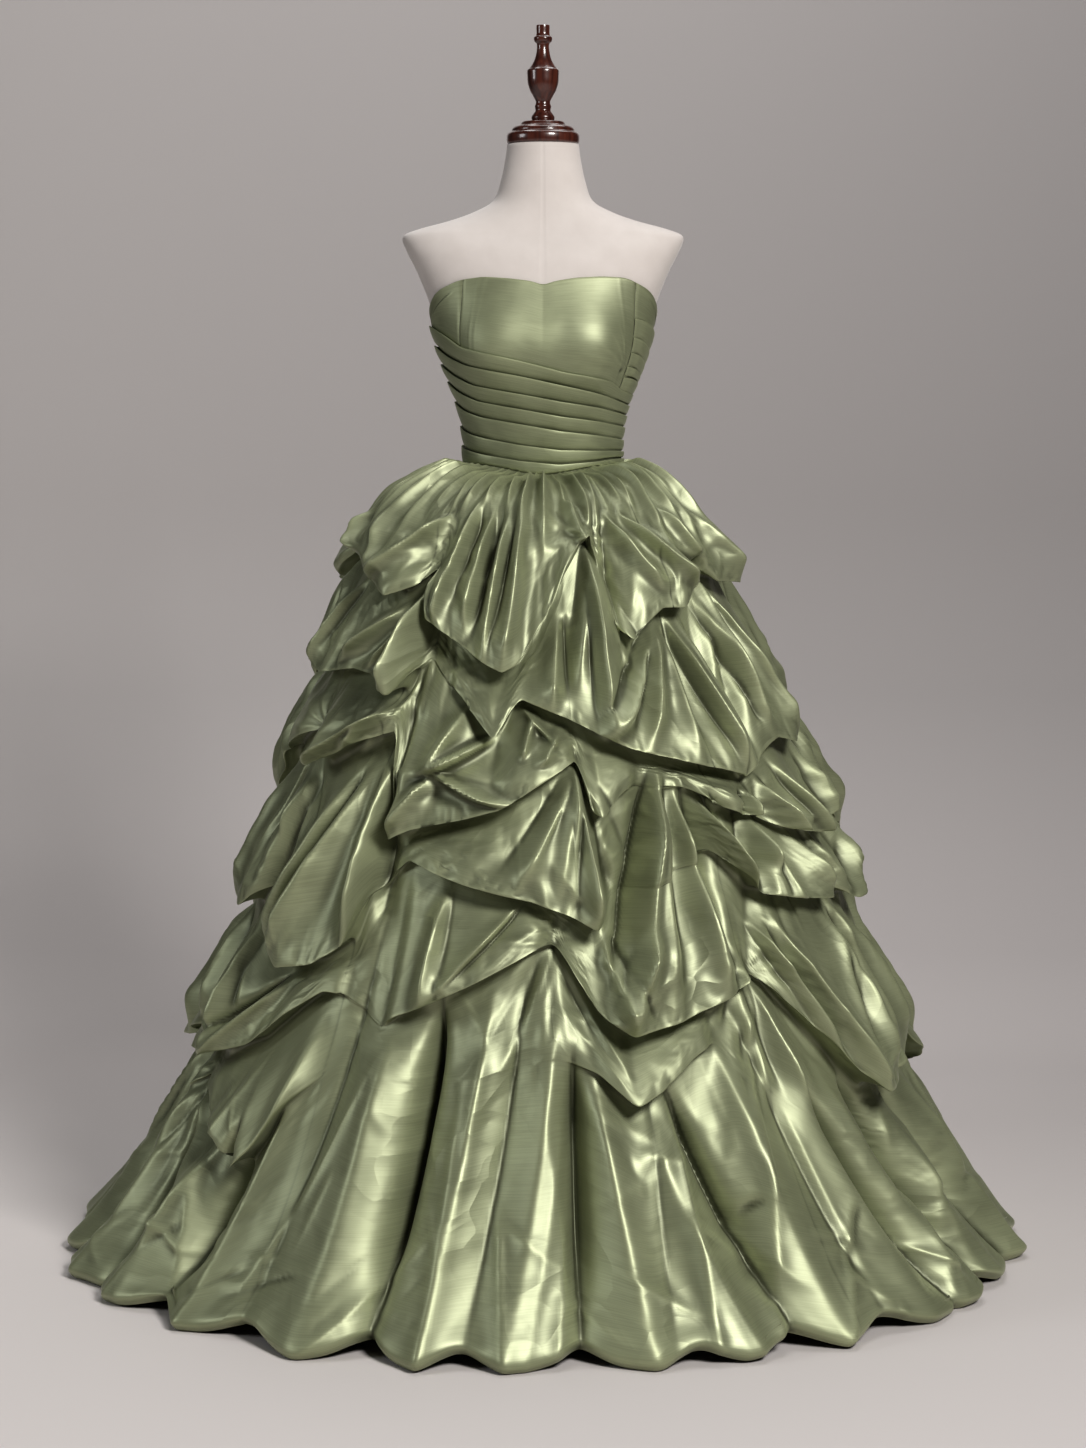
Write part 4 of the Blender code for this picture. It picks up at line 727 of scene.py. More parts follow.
# Rows of swags.  bearing, height of the lower edge in cm,
# length of cloth taken up in the swag in cm (under 1 where the fold dies, 1 at a tack).
SWAG_ROWS = (
    (   # under the waist
        (-180, 93, 4.0), (-166, 99, 1.0), (-158, 91, 5.0), (-140, 91.5, 5.0),
        (-120, 99, 1.0), (-112, 94, 4.0), (-98, 95, 4.0), (-88, 97, 3.5),
        (-82, 100, 1.0), (-72, 99, 2.5), (-56, 96, 4.0), (-44, 93.5, 4.5),
        (-37, 95, 3.0), (-33, 97.5, 1.0), (-31, 91, 4.5), (-28, 90, 5.0),
        (-13, 85, 5.5), (-9, 84, 5.5), (-6, 85, 5.5), (0, 90.5, 5.0),
        (6, 96.5, 4.0), (11, 100.5, 2.5), (13.5, 101.5, 1.0), (16.5, 96.5, 0.3),
        (20, 89.5, 0.5), (23, 88, 3.5), (27, 90, 4.5), (33, 92, 4.5),
        (40, 92, 4.5), (47, 94.5, 4.0), (55, 98, 1.0), (62, 95, 3.5),
        (76, 94.5, 4.0), (88, 97, 3.0), (98, 100, 1.0), (106, 93, 4.0),
        (124, 89, 5.0), (136, 91, 5.0), (150, 99, 1.0), (158, 93, 4.5),
        (172, 91, 4.5), (180, 93, 4.0),
    ),
    (
        (-180, 76, 4.5), (-170, 75, 5.0), (-150, 79, 4.0), (-142, 83, 1.0),
        (-136, 77, 4.0), (-118, 75, 5.0), (-106, 79, 3.5), (-99, 85, 1.0),
        (-92, 83, 3.0), (-84, 84.5, 3.5), (-76, 83, 3.5), (-66, 82.5, 4.0),
        (-52, 83.5, 4.0), (-45, 83, 4.0), (-38, 81.5, 4.5), (-34, 80.5, 4.5),
        (-32, 84, 1.0), (-30, 86, 0.3), (-24, 83, 0.3), (-18, 80, 2.0),
        (-10, 75.5, 4.0), (-7, 79, 3.0), (-5, 80.5, 2.5), (5, 78, 4.0),
        (14, 75, 5.0), (18, 74, 5.0), (30, 72, 5.0), (40, 70.5, 4.5),
        (46.5, 69.5, 1.0), (52, 72, 3.0), (60, 74, 3.5), (66, 73, 3.5),
        (76, 75, 3.5), (84, 77, 3.0), (92, 81, 1.0), (100, 75, 4.0),
        (116, 73, 5.0), (126, 77, 4.0), (135, 83, 1.0), (144, 75, 4.5),
        (160, 73.5, 5.0), (172, 75, 4.5), (180, 76, 4.5),
    ),
    (
        (-180, 60, 5.0), (-168, 61, 4.0), (-160, 67, 1.0), (-152, 61, 4.0),
        (-138, 58, 5.0), (-124, 62, 4.0), (-118, 67, 1.0), (-112, 61, 4.0),
        (-100, 65, 4.0), (-94, 70, 2.5), (-84, 71.5, 3.5), (-72, 73.5, 3.0),
        (-65, 75, 1.0), (-60, 71.5, 4.0), (-55, 70.5, 5.0), (-47, 72.5, 5.0),
        (-40, 74.5, 4.5), (-33, 76, 3.0), (-31.5, 63, 1.5), (-30, 62, 4.0),
        (-25, 63.5, 5.0), (-15, 65, 5.5), (-8, 66.5, 5.5), (-1, 69.5, 5.0),
        (5, 72, 3.0), (7, 72.7, 1.0), (9, 66.5, 2.5), (11, 65.5, 4.0),
        (15, 68, 2.0), (20, 70, 0.4), (23, 69.5, 0.3), (30, 69, 0.8),
        (34, 67, 3.0), (39, 65.5, 4.0), (43, 64.5, 3.5), (47, 64.5, 1.0),
        (54, 62, 3.0), (64, 61, 3.5), (76, 62, 3.5), (85, 66, 1.0),
        (94, 60, 4.0), (104, 58, 5.0), (114, 62, 4.0), (120, 67, 1.0),
        (127, 60, 4.0), (142, 58, 5.0), (154, 62, 4.0), (160, 67, 1.0),
        (168, 61, 4.0), (180, 60, 5.0),
    ),
    (
        (-180, 43, 5.0), (-164, 42, 5.0), (-150, 46, 4.0), (-142, 51, 1.0),
        (-134, 44, 4.0), (-120, 41, 5.0), (-108, 46, 4.0), (-102, 51, 1.0),
        (-94, 50, 3.0), (-84, 51, 3.5), (-72, 50, 3.5), (-64, 54, 1.0),
        (-57, 48, 4.0), (-48, 44.5, 5.0), (-41, 45.5, 5.0), (-35, 48.5, 4.5),
        (-33, 55, 1.0), (-30, 57.5, 0.8), (-26, 59.5, 2.0), (-21, 58.5, 4.0),
        (-14, 57, 5.0), (-2, 55, 5.0), (5, 53, 4.5), (9, 51.3, 4.0),
        (10.5, 53, 1.0), (13, 56, 0.3), (22, 58, 0.3), (30, 60, 0.5),
        (34, 60.5, 1.5), (38, 57.5, 4.0), (42, 54.5, 5.0), (50, 53.3, 5.0),
        (60, 52.5, 4.5), (65, 54, 1.0), (74, 51, 3.5), (84, 52, 3.5),
        (92, 55, 1.0), (106, 45, 4.0), (122, 41, 5.0), (134, 46, 4.0),
        (140, 51, 1.0), (148, 44, 4.0), (166, 41.5, 5.0), (180, 43, 5.0),
    ),
    (
        (-180, 25, 4.5), (-168, 27, 4.0), (-160, 33, 1.0), (-150, 26, 4.0),
        (-138, 23, 4.5), (-126, 27, 4.0), (-119, 33, 1.0), (-110, 26, 4.0),
        (-98, 28, 4.0), (-88, 31, 3.5), (-78, 33, 1.0), (-70, 31, 4.0),
        (-63, 31, 4.5), (-52, 34, 5.0), (-45, 38.5, 4.5), (-39, 42, 2.0),
        (-35, 42, 0.5), (-27, 39, 0.3), (-22, 40.5, 2.0), (-19, 41.5, 4.5),
        (-10, 45, 5.0), (-1, 49, 3.5), (2, 49.5, 1.0), (5, 45.5, 3.0),
        (9, 41, 4.5), (13, 38.5, 5.5), (20, 39.5, 5.5), (28, 41.5, 5.0),
        (34, 43, 3.5), (37.5, 44.5, 1.0), (40, 42.5, 2.5), (44, 39, 3.5),
        (50, 33, 4.5), (56, 27.5, 5.0), (62, 28, 5.0), (70, 29.5, 4.0),
        (78, 31, 3.5), (86, 34, 1.0), (94, 27, 4.0), (104, 23, 4.5),
        (112, 27, 4.0), (119, 33, 1.0), (128, 26, 4.0), (142, 22, 4.5),
        (154, 27, 4.0), (161, 33, 1.0), (170, 27, 4.0), (180, 25, 4.5),
    ),
)
# The last, partial row: single corners that hang over the long flutes.
LOW_SWAGS = (
    (-180, 16, 0.3), (-74, 24, 0.3), (-67, 28, 1.0), (-60, 26.5, 3.0),
    (-54, 23.5, 4.0), (-49, 20.5, 4.5), (-46, 19.0, 4.5), (-43, 22.0, 2.5),
    (-39, 29, 0.8), (-34, 34, 0.3), (-18, 32, 0.3), (2, 36, 0.3), (8, 34.0, 1.0),
    (13, 30.0, 3.5), (17, 31.5, 3.5), (23, 35.0, 2.0), (28, 37.0, 0.3),
    (44, 24, 0.3), (90, 17, 0.3), (180, 16, 0.3),
)
# Long folds that stand out from the skirt.  bearing and height where the fold
# starts, bearing and height where it ends, rise, width at both ends (cm).
LONG_FOLDS = (
    (-150, 36, -157, 0, 2.6, 2, 7), (-137, 34, -137, 0, 2.8, 3, 8),
    (-120, 36, -119, 0, 2.6, 2, 7), (-104, 36, -101, 0, 2.4, 3, 8),
    (-84, 36, -84, 0, 2.2, 3, 6), (-70, 34, -70, 0, 2.6, 3, 7),
    (-57, 22, -56, 0, 2.0, 3, 6), (-38, 42, -44, 0, 2.4, 2, 6),
    (-24, 42, -27, 0, 3.2, 3, 9), (-8, 46, -13, 0, 2.8, 2, 6),
    (3, 45, -4, 0, 2.6, 2, 6), (7, 36, 12, 0, 2.8, 2, 7),
    (14, 32, 22, 0, 2.8, 3, 7), (27, 40, 34, 0, 2.8, 3, 8),
    (38, 44, 48, 0, 3.0, 3, 8), (46, 34, 58, 0, 2.4, 2, 6),
    (60, 26, 68, 0, 2.4, 3, 6), (76, 28, 80, 0, 2.2, 3, 7),
    (96, 32, 93, 0, 2.6, 3, 7), (112, 34, 108, 0, 2.8, 3, 8),
    (124, 34, 123, 0, 2.4, 3, 7), (142, 30, 139, 0, 2.8, 3, 8),
    (160, 36, 157, 0, 2.6, 3, 7), (176, 34, 174, 0, 2.8, 3, 8),
    (-168, 32, -171, 0, 2.4, 3, 7),
)
# Folds on the swags themselves, in the same columns.
SWAG_FOLDS = (
    (-33, 105, -52, 96, 1.8, 1, 3), (-60, 104, -54, 97, 1.2, 1, 3),
    (-78, 104, -70, 99, 1.2, 1, 3), (-24, 107, -28, 91, 1.6, 1, 2),
    (-18, 106, -20, 90, 1.4, 1, 2), (-12, 106, -14, 86, 1.6, 1, 2),
    (-6, 106, -9, 85, 1.6, 1, 3), (8, 106, 12, 101, 1.4, 1, 2),
    (13, 100, 14, 76, 2.2, 1, 3), (21, 105, 33, 95, 1.8, 1, 3),
    (28, 105, 46, 95, 1.8, 1, 3), (45, 105, 55, 98, 1.4, 1, 3),
    (60, 105, 74, 96, 1.4, 1, 4),
    (33, 91, 15, 76, 2.0, 1, 3), (33, 91, 23, 75, 1.6, 1, 3),
    (34, 91, 33, 73, 1.3, 1, 3), (37, 92, 45, 71, 2.2, 1, 3),
    (41, 92, 48, 71, 1.4, 1, 3), (50, 94, 58, 75, 1.6, 1, 4),
    (56, 97, 70, 75, 1.6, 1, 4), (4, 92, 2, 79, 1.2, 1, 3),
    (-40, 93, -56, 85, 1.6, 1, 3), (-34, 95, -36, 82, 1.8, 1, 2),
    (-64, 96, -74, 84, 1.4, 1, 3), (-34, 92, -46, 84, 1.2, 1, 2),
    (-17, 80, -23, 71, 2.0, 1, 3), (-10, 76, -22, 71, 1.8, 1, 2),
    (-22, 71, -9, 67, 1.6, 1, 3), (-22, 71, -30, 63, 1.4, 1, 3),
    (-6, 80, 2, 75, 1.0, 1, 1), (-2, 79, -4, 73, 1.0, 1, 1),
    (4, 77, 0, 72, 1.0, 1, 2), (7, 72, 10, 52, 2.0, 1, 2),
    (7, 72, -4, 57, 1.0, 1, 4), (7, 72, 3, 56, 1.2, 1, 4),
    (-34, 79, -55, 71, 1.8, 1, 3), (-34, 80, -44, 73, 1.4, 1, 3),
    (-34, 74, -35, 50, 2.2, 2, 3), (-38, 73, -50, 48, 2.2, 2, 5),
    (-43, 72, -57, 49, 1.8, 2, 5), (-60, 71, -68, 51, 1.8, 2, 5),
    (-76, 71, -80, 51, 1.8, 2, 5),
    (25, 72, 14, 42, 2.4, 1, 4), (25, 72, 20, 42, 1.8, 1, 4),
    (28, 71, 30, 43, 2.0, 1, 4), (32, 69, 40, 56, 2.0, 1, 2),
    (46, 69, 46, 58, 1.8, 1, 2), (50, 70, 61, 54, 2.0, 1, 3),
    (58, 72, 70, 54, 1.6, 1, 4), (76, 73, 80, 54, 1.6, 1, 4),
    (40, 52, 50, 33, 1.8, 1, 3), (44, 53, 56, 29, 2.0, 1, 3),
    (62, 51, 64, 30, 2.0, 1, 4), (74, 51, 78, 32, 1.8, 1, 4),
    (-62, 50, -63, 32, 1.8, 1, 3), (-46, 44, -62, 31, 1.6, 1, 3),
    (-84, 50, -82, 33, 1.6, 1, 4), (-18, 57, -19, 42, 1.4, 1, 2),
    (-4, 55, -18, 42, 1.4, 1, 3), (10, 51, 13, 39, 1.6, 1, 2),
    (18, 52, 13, 39, 1.4, 1, 3), (36, 47, 34, 36, 1.2, 1, 2),
    (-116, 98, -104, 80, 1.8, 1, 5), (-130, 91, -120, 76, 1.6, 1, 4),
    (-160, 97, -170, 76, 1.8, 1, 5), (-148, 90, -152, 80, 1.4, 1, 4),
    (98, 98, 112, 75, 1.8, 1, 5), (126, 90, 118, 74, 1.6, 1, 4),
    (150, 97, 160, 75, 1.8, 1, 5), (150, 96, 144, 77, 1.6, 1, 4),
    (-142, 82, -138, 60, 2.0, 1, 5), (-142, 82, -152, 63, 1.6, 1, 5),
    (-99, 84, -110, 63, 1.8, 1, 5), (-172, 76, -178, 61, 1.6, 1, 5),
    (135, 82, 142, 60, 2.0, 1, 5), (135, 82, 128, 61, 1.6, 1, 5),
    (92, 80, 104, 60, 1.8, 1, 5), (172, 76, 178, 61, 1.6, 1, 5),
    (-160, 66, -164, 44, 2.0, 1, 5), (-118, 66, -120, 43, 2.0, 1, 5),
    (-160, 66, -150, 48, 1.6, 1, 5), (-94, 69, -96, 52, 1.6, 1, 5),
    (120, 66, 122, 43, 2.0, 1, 5), (160, 66, 166, 43, 2.0, 1, 5),
    (120, 66, 108, 47, 1.6, 1, 5), (160, 66, 148, 46, 1.6, 1, 5),
    (-142, 50, -138, 25, 2.0, 1, 5), (-102, 50, -98, 30, 2.0, 1, 5),
    (140, 50, 142, 24, 2.0, 1, 5), (98, 52, 104, 25, 2.0, 1, 5),
)
HEM_LIFTS = (    # bearing, rise of the hem off the floor in cm, half width in degrees
    (-150, 1.2, 5), (-112, 1.4, 5), (-77, 1.4, 4), (-50, 1.6, 4), (-35, 1.8, 4),
    (-20, 1.8, 3), (-9, 1.6, 3), (4, 1.6, 3), (17, 1.6, 3), (28, 1.8, 4),
    (41, 1.8, 4), (63, 1.6, 4), (86, 1.2, 4), (104, 1.4, 5),
    (146, 1.4, 5), (180, 1.2, 5),
)
ALL_SWAGS = SWAG_ROWS + (LOW_SWAGS,)
TACK = 1.0               # the third column's value at a tack
print("tacks:", sum(row[2] == TACK for table in SWAG_ROWS for row in table), "in", len(SWAG_ROWS), "rows")

# %% [markdown]
# ### The cloth's path from waist to hem
# Seen in section, the cloth leaves the waist, swells out, rolls under at a swag's
# edge, runs in and a little up behind it, and comes out again lower down.  A B-spline
# through a few control points for each row gives that path at every bearing, which a
# radius by height could not, since each height just above an edge is passed twice.

# %% The path of the cloth
# below the waist: height from there, radius
WAIST_PUFF = ((-0.012, 0.138), (-0.024, 0.168), (-0.046, 0.200), (-0.070, 0.228))
LEFT_LEAN = 0.020          # the left side hangs this much closer in
RIGHT_LEAN = 0.020         # and so does the right side, above the second row of swags
SETTLED_IN = 12 * MM       # folds stand outward, so the cloth between them lies this much further in
GATHERED_IN = 4 * MM       # and so does the cloth between the gathers
FLOOR_CLEAR = 1.05 * MM    # no point lies lower
ROLL_WIDTH = 10 * MM       # a swag's lower edge rolls under this far
LEDGE_RISE = 12 * MM       # behind it the cloth runs in, and up by this much
LEDGE_CALM = 0.65          # share of the folds that is left out at that step's inner end
CORNER_FLARE = 14 * MM     # the low corners of the swags stand out
FLUTE_STEPS = (0.92, 0.66, 0.36, 0.14)      # control points below the last row, as shares of its height


def table_line(rows, column, at):
    """Straight runs between a table's rows, eased a little at the corners."""
    keys = np.array([row[0] for row in rows], float)
    values = np.array([row[column] for row in rows], float)
    return sum(np.interp(at + shift, keys, values) for shift in (-0.6, 0, 0, 0.6)) / 4.0


def body_radius(bearing, height):
    """Radius of the skirt under its swags."""
    table = np.array(SKIRT_BODY)[::-1]
    left = np.clip(-np.sin(np.radians(bearing)), 0.0, 1.0) ** 2
    lean = LEFT_LEAN * left * smooth((0.9 - height) / 0.3) * smooth(height / 0.15)
    right = np.clip(np.sin(np.radians(bearing)), 0.0, 1.0) ** 2
    lean = lean + RIGHT_LEAN * right * smooth((height - 0.84) / 0.08)
    return np.interp(height, table[:, 0], table[:, 1]) - lean


def corners(table):
    """The low corners of a row of swags, as (bearing, sharpness 0 to 1)."""
    for before, here, after in zip(table[:-2], table[1:-1], table[2:]):
        if here[1] <= before[1] and here[1] <= after[1] and here[2] >= 3:
            yield here[0], min(1.0, (before[1] + after[1] - 2 * here[1]) / 8.0 + 0.25)


def swag_rows(bearing):
    """Lower edge, standing-out and closedness of each row of swags."""
    for table in ALL_SWAGS:
        edge, tuck = table_line(table, 1, bearing) * CM, table_line(table, 2, bearing) * CM
        flare = sum(CORNER_FLARE * s * np.exp(-(wrap(bearing - b) / 5.0) ** 2) for b, s in corners(table))
        closed = smooth(tuck / (2.2 * CM))
        yield edge, (11 * MM + 0.60 * tuck) * smooth(tuck / (1.2 * CM)) + flare * closed, closed


def control_sections(bearing):
    """Radius, height, and share of outer face, at each section's control points."""
    seam_height = waist_seam(bearing) - SEAM_GAP
    seam_radius = bodice_radius(bearing, seam_height) + 2.0 * MM
    points = [(seam_radius, seam_height, 0.3), (seam_radius + 10 * MM, seam_height - 1 * MM, 0.8)]
    closer = RIGHT_LEAN * np.clip(np.sin(np.radians(bearing)), 0.0, 1.0) ** 2
    points += [(radius - closer * (radius > 0.19), np.minimum(WAIST_HEIGHT + drop, seam_height - 3 * MM), 1.0)
               for drop, radius in WAIST_PUFF]
    last_edge, last_closed = WAIST_HEIGHT - 0.085 + 0 * bearing, 0 * bearing
    for row, (edge, proud, closed) in enumerate(swag_rows(bearing)):
        open_ = 1.0 - closed

        def at_height(height, out, face, points=points):
            points.append((body_radius(bearing, height) + out, height, face))

        if row:      # the cloth comes down behind the swag above
            at_height(last_edge - 8 * MM, -6 * MM * last_closed, 1.0 - LEDGE_CALM * last_closed)
        # it swells out half way down, and is fullest a little above its edge
        span = np.maximum(last_edge - edge, 12 * MM)
        at_height(edge + 0.55 * span, 0.64 * proud, 1.0)
        at_height(edge + np.minimum(np.maximum(16 * MM, 0.18 * span), 0.35 * span), 0.98 * proud, 1.0)
        at_height(edge + 3 * MM, proud, 1.0)
        # it rolls under the edge and runs in behind; where the swag is open, it just goes on down
        at_height(edge - 4 * MM, proud - 0.3 * ROLL_WIDTH * closed, 1.0 - 0.3 * LEDGE_CALM * closed)
        at_height(edge + 0.3 * LEDGE_RISE * closed - 6 * MM * open_, proud - ROLL_WIDTH * closed,
                  1.0 - 0.7 * LEDGE_CALM * closed)
        at_height(edge + LEDGE_RISE * closed - 12 * MM * open_, -4 * MM * closed + 0.5 * proud * open_,
                  1.0 - LEDGE_CALM * closed)
        last_edge, last_closed = edge, closed
    # the flutes fall to the floor, and the hem turns in a little
    lift = sum(rise * CM * np.exp(-(wrap(bearing - at) / half) ** 2) for at, rise, half in HEM_LIFTS)
    for share in FLUTE_STEPS:
        points.append((body_radius(bearing, last_edge * share), last_edge * share, 1.0))
    points.append((body_radius(bearing, 0) + 4 * MM - 0.4 * lift, 12 * MM + lift, 1.0))
    points.append((body_radius(bearing, 0) - 10 * MM - 0.6 * lift, 1.2 * MM + lift, 1.0))
    return [np.array([p[i] + 0 * bearing for p in points]) for i in range(3)]


def bspline(control, at):
    """Uniform cubic B-spline through the end points [point, bearing] at positions `at`."""
    padded = np.concatenate([2 * control[:1] - control[1:2], control, 2 * control[-1:] - control[-2:-1]])
    start = np.clip(np.floor(at).astype(int), 0, len(control) - 2)
    t = (at - start)[:, None]
    weights = ((1 - t) ** 3, 3 * t ** 3 - 6 * t ** 2 + 4, -3 * t ** 3 + 3 * t ** 2 + 3 * t + 1, t ** 3)
    return sum(w * padded[start + i] for i, w in enumerate(weights)) / 6.0


COLUMNS = 88                             # round the skirt, from -44 to 44
FRONT_COLUMNS, FRONT_STEP, BACK_STEP = 24, 3.0, 5.4      # columns a side, degrees between two


def column_bearing(columns):
    """Bearing of a column: close columns at the front, wider ones at the back."""
    past = np.clip(np.abs(columns) - FRONT_COLUMNS, 0, None)
    return np.sign(columns) * (np.minimum(np.abs(columns), FRONT_COLUMNS) * FRONT_STEP + past * BACK_STEP)


def rows_by_length(count):
    """Positions down the path that give rows of nearly equal length."""
    probe = np.linspace(-178, 178, 60)
    sections = control_sections(probe)
    dense = np.linspace(0, len(sections[0]) - 1, 1200)
    radius, height, _ = (bspline(c, dense) for c in sections)
    step = np.hypot(np.diff(radius, axis=0), np.diff(height, axis=0)).mean(axis=1) ** 0.8
    travelled = np.concatenate([[0], np.cumsum(step)])
    return np.interp(np.linspace(0, travelled[-1], count), travelled, dense)


print("control points down the cloth:", len(control_sections(np.zeros(1))[0]))

# %% [markdown]
# ### Folds
# The folds are laid on that path before the cloth settles.  Standing folds come from
# the tables, with an uneven share of their rise, and narrow valleys lie between and
# beside them.  Slanting breaks bend the flutes just above the floor.  Folds and
# creases fan out under each tack.  Gathers start at the waist as narrow ridges, and
# some run on down the first swag.  A taffeta fold has nearly straight sides and a
# sharp crest, so one profile serves them all: an exponential with a small rounding.
#
# Every fold is a row like the tables' own: bearing and height in cm where it starts,
# the same where it ends, its rise in cm (below 0 for a valley), its width at both ends.

# %% Folds
FAN_RISE, FAN_REACH = 2.6 * MM, 0.085           # highest this far from the tack
TACK_DIMPLE, DIMPLE_WIDTH = 11 * MM, 0.028
chance = np.random.default_rng(11)


def crest(aside, width):
    """A fold's profile: nearly straight sides that meet in a sharp crest."""
    rounding = 0.22 * width
    return np.exp((rounding - np.sqrt(aside ** 2 + rounding ** 2)) / (1.1 * width))


def small_folds(count):
    """Low folds anywhere between the long ones; one in three ends above the floor."""
    for bearing in chance.uniform(-180, 180, count):
        yield (bearing, chance.uniform(16, 40), bearing + chance.normal(0, 8), chance.choice((0, 0, 6)),
               chance.uniform(0.5, 1.3), 1.0, chance.uniform(1.5, 3.0))


def valleys():
    """Narrow valleys between neighbouring long folds.

    One in three is shallow, so that two flutes run together into a broad one.
    """
    ordered = sorted(LONG_FOLDS, key=lambda fold: fold[2])
    for left, right in zip(ordered, ordered[1:]):
        lean, top = chance.normal(0, 1.6), min(left[1], right[1]) + chance.uniform(0, 12)
        deep = chance.uniform(4.2, 7.5) if chance.random() < 0.66 else chance.uniform(0.6, 1.8)
        yield (0.5 * (left[0] + right[0]) + lean, top, 0.5 * (left[2] + right[2]) - 0.5 * lean, 0,
               -deep, 1.0, chance.uniform(1.6, 3.2))


def uneven_folds():
    """The long folds again, with an uneven share of their rise and width."""
    for *line, rise, narrow, wide in LONG_FOLDS:
        yield (*line, rise * chance.uniform(0.55, 1.35), narrow * chance.uniform(0.6, 1.2),
               wide * chance.uniform(0.6, 1.25))


SMALL_FOLDS = tuple(small_folds(46))
VALLEYS = tuple(valleys())
UNEVEN_FOLDS = tuple(uneven_folds())


def tack_places():
    """Bearing and height of every hidden tack: the peaks between the swags."""
    for table in ALL_SWAGS:
        for before, here, after in zip(table[:-2], table[1:-1], table[2:]):
            if here[2] == TACK and here[1] >= before[1] and here[1] >= after[1]:
                yield here[0], here[1] * CM


def fanned_folds(chance):
    """Folds that fan out under each tack: low at the front, which has its own in the table."""
    for bearing, height in tack_places():
        rise, spread = (1.0, 1.0) if abs(bearing) > FRONT_ENDS else (0.5, 0.6)
        for lean in (-1.0, -0.3, 0.4, 1.0):
            yield (bearing, height / CM, bearing + spread * lean * chance.uniform(8, 17),
                   height / CM - chance.uniform(13, 22), rise * chance.uniform(0.8, 2.0),
                   1, chance.uniform(1.5, 4.0))


def swag_valleys(folds, chance):
    """A narrow valley beside each longer fold on the swags, on a side picked by chance."""
    for from_bearing, top, to_bearing, bottom, rise, _, _ in folds:
        if top - bottom < SHORT_FOLD:
            continue
        side = chance.choice((-1, 1)) * chance.uniform(2.4, 4.0)
        yield (from_bearing + 0.5 * side, top, to_bearing + side, bottom + 2,
               -rise * chance.uniform(0.35, 0.75), 1, chance.uniform(1.4, 2.4))


FRONT_ENDS, SHORT_FOLD = 105, 11     # bearing in degrees; length in cm
fan_chance = np.random.default_rng(5)
FANNED_FOLDS = tuple(fanned_folds(fan_chance))
SWAG_VALLEYS = tuple(swag_valleys(SWAG_FOLDS, chance)) + tuple(swag_valleys(FANNED_FOLDS, fan_chance))


def floor_breaks():
    """Low slanting ridges and dents just above the floor, where a flute's weight bends it."""
    bearing = -180.0
    while bearing < 176:
        bearing += chance.uniform(5, 10)
        top, side = chance.uniform(7, 19), chance.choice((-1, 1))
        yield (bearing, top, bearing + side * chance.uniform(5, 10), max(1, top - chance.uniform(4, 9)),
               side * chance.uniform(0.3, 0.9), 1.2, chance.uniform(2.0, 3.6))


BREAKS = tuple(floor_breaks())
FLUTES = UNEVEN_FOLDS + VALLEYS + SMALL_FOLDS + BREAKS
ON_SWAGS = SWAG_FOLDS + FANNED_FOLDS + SWAG_VALLEYS
WIDTH_SHARE = 0.72                   # of a table's width, so that crests stay sharp
UPPER_ROWS = 60                      # cm; folds that start above this are deeper
UPPER_GAIN, LOWER_GAIN = (2.9, 1.1), (2.3, 0.8)     # a swag fold's rise, and its sink on both sides


def standing_folds(bearing, height, radius):
    """The folds of all the tables, in metres.

    A fold on a swag also sinks a little on both sides of its crest, and a valley in
    the flutes grows shallow at the hem.
    """
    total = 0.0 * height
    for table in (FLUTES, ON_SWAGS):
        rise = 0.0 * height
        for from_bearing, top, to_bearing, bottom, lift, narrow, wide in table:
            way = np.clip((top * CM - height) / ((top - bottom) * CM), -0.2, 1.2)
            middle = from_bearing + (to_bearing - from_bearing) * way
            aside = np.radians(wrap(bearing - middle)) * radius
            width = (narrow + (wide - narrow) * np.clip(way, 0, 1)) * CM * WIDTH_SHARE
            fade = smooth(way / 0.35)
            if bottom > 0:
                fade = fade * smooth((1.15 - way) / 0.4)
            shape = crest(aside, width)
            if lift < 0:
                shape = shape * (0.45 + 0.55 * smooth((height - 0.02) / 0.12))
            if table is ON_SWAGS:
                gain, sink = UPPER_GAIN if top > UPPER_ROWS else LOWER_GAIN
                shape = gain * shape - sink * crest(aside, 2.6 * width)
            rise = rise + lift * CM * fade * shape
        total = total + rise
    return total


FANS = [(b, z, int(chance.integers(8, 12)), chance.uniform(0, 2 * pi), chance.uniform(0.75, 1.25))
        for b, z in tack_places()]


def fans(bearing, height, radius):
    """Creases that spread from the tacks, and the dimple at each tack."""
    rise = 0.0 * height
    for tack_bearing, tack_height, count, phase, strength in FANS:
        aside = np.radians(wrap(bearing - tack_bearing)) * radius
        below = tack_height - height
        away = np.hypot(aside, below) + 1e-4
        ridge = ((1 + np.cos(count * np.arctan2(aside, below) + phase)) / 2) ** 1.8 - 0.35
        swell = (away / FAN_REACH) * np.exp(1 - away / FAN_REACH) * smooth((0.34 - away) / 0.12)
        rise = rise + FAN_RISE * strength * swell * ridge
        rise = rise - TACK_DIMPLE * np.exp(-(away / DIMPLE_WIDTH) ** 2)
    return rise


def waist_gathers():
    """Bearing, drift, length, height and width of each gather at the waist."""
    bearing = -180.0
    while bearing < 174:
        bearing += chance.uniform(4.0, 8.5)
        if chance.random() < 0.4:                # a long one, that runs on down the first swag
            length, lift = chance.uniform(0.13, 0.22), chance.uniform(15, 25)
            narrow = chance.uniform(2.2, 3.6)
        else:
            length, lift = chance.uniform(0.04, 0.10), chance.uniform(8, 15)
            narrow = chance.uniform(1.5, 2.6)
        yield bearing, chance.normal(0, 22), length, lift * MM, narrow * MM


GATHERS = list(waist_gathers())


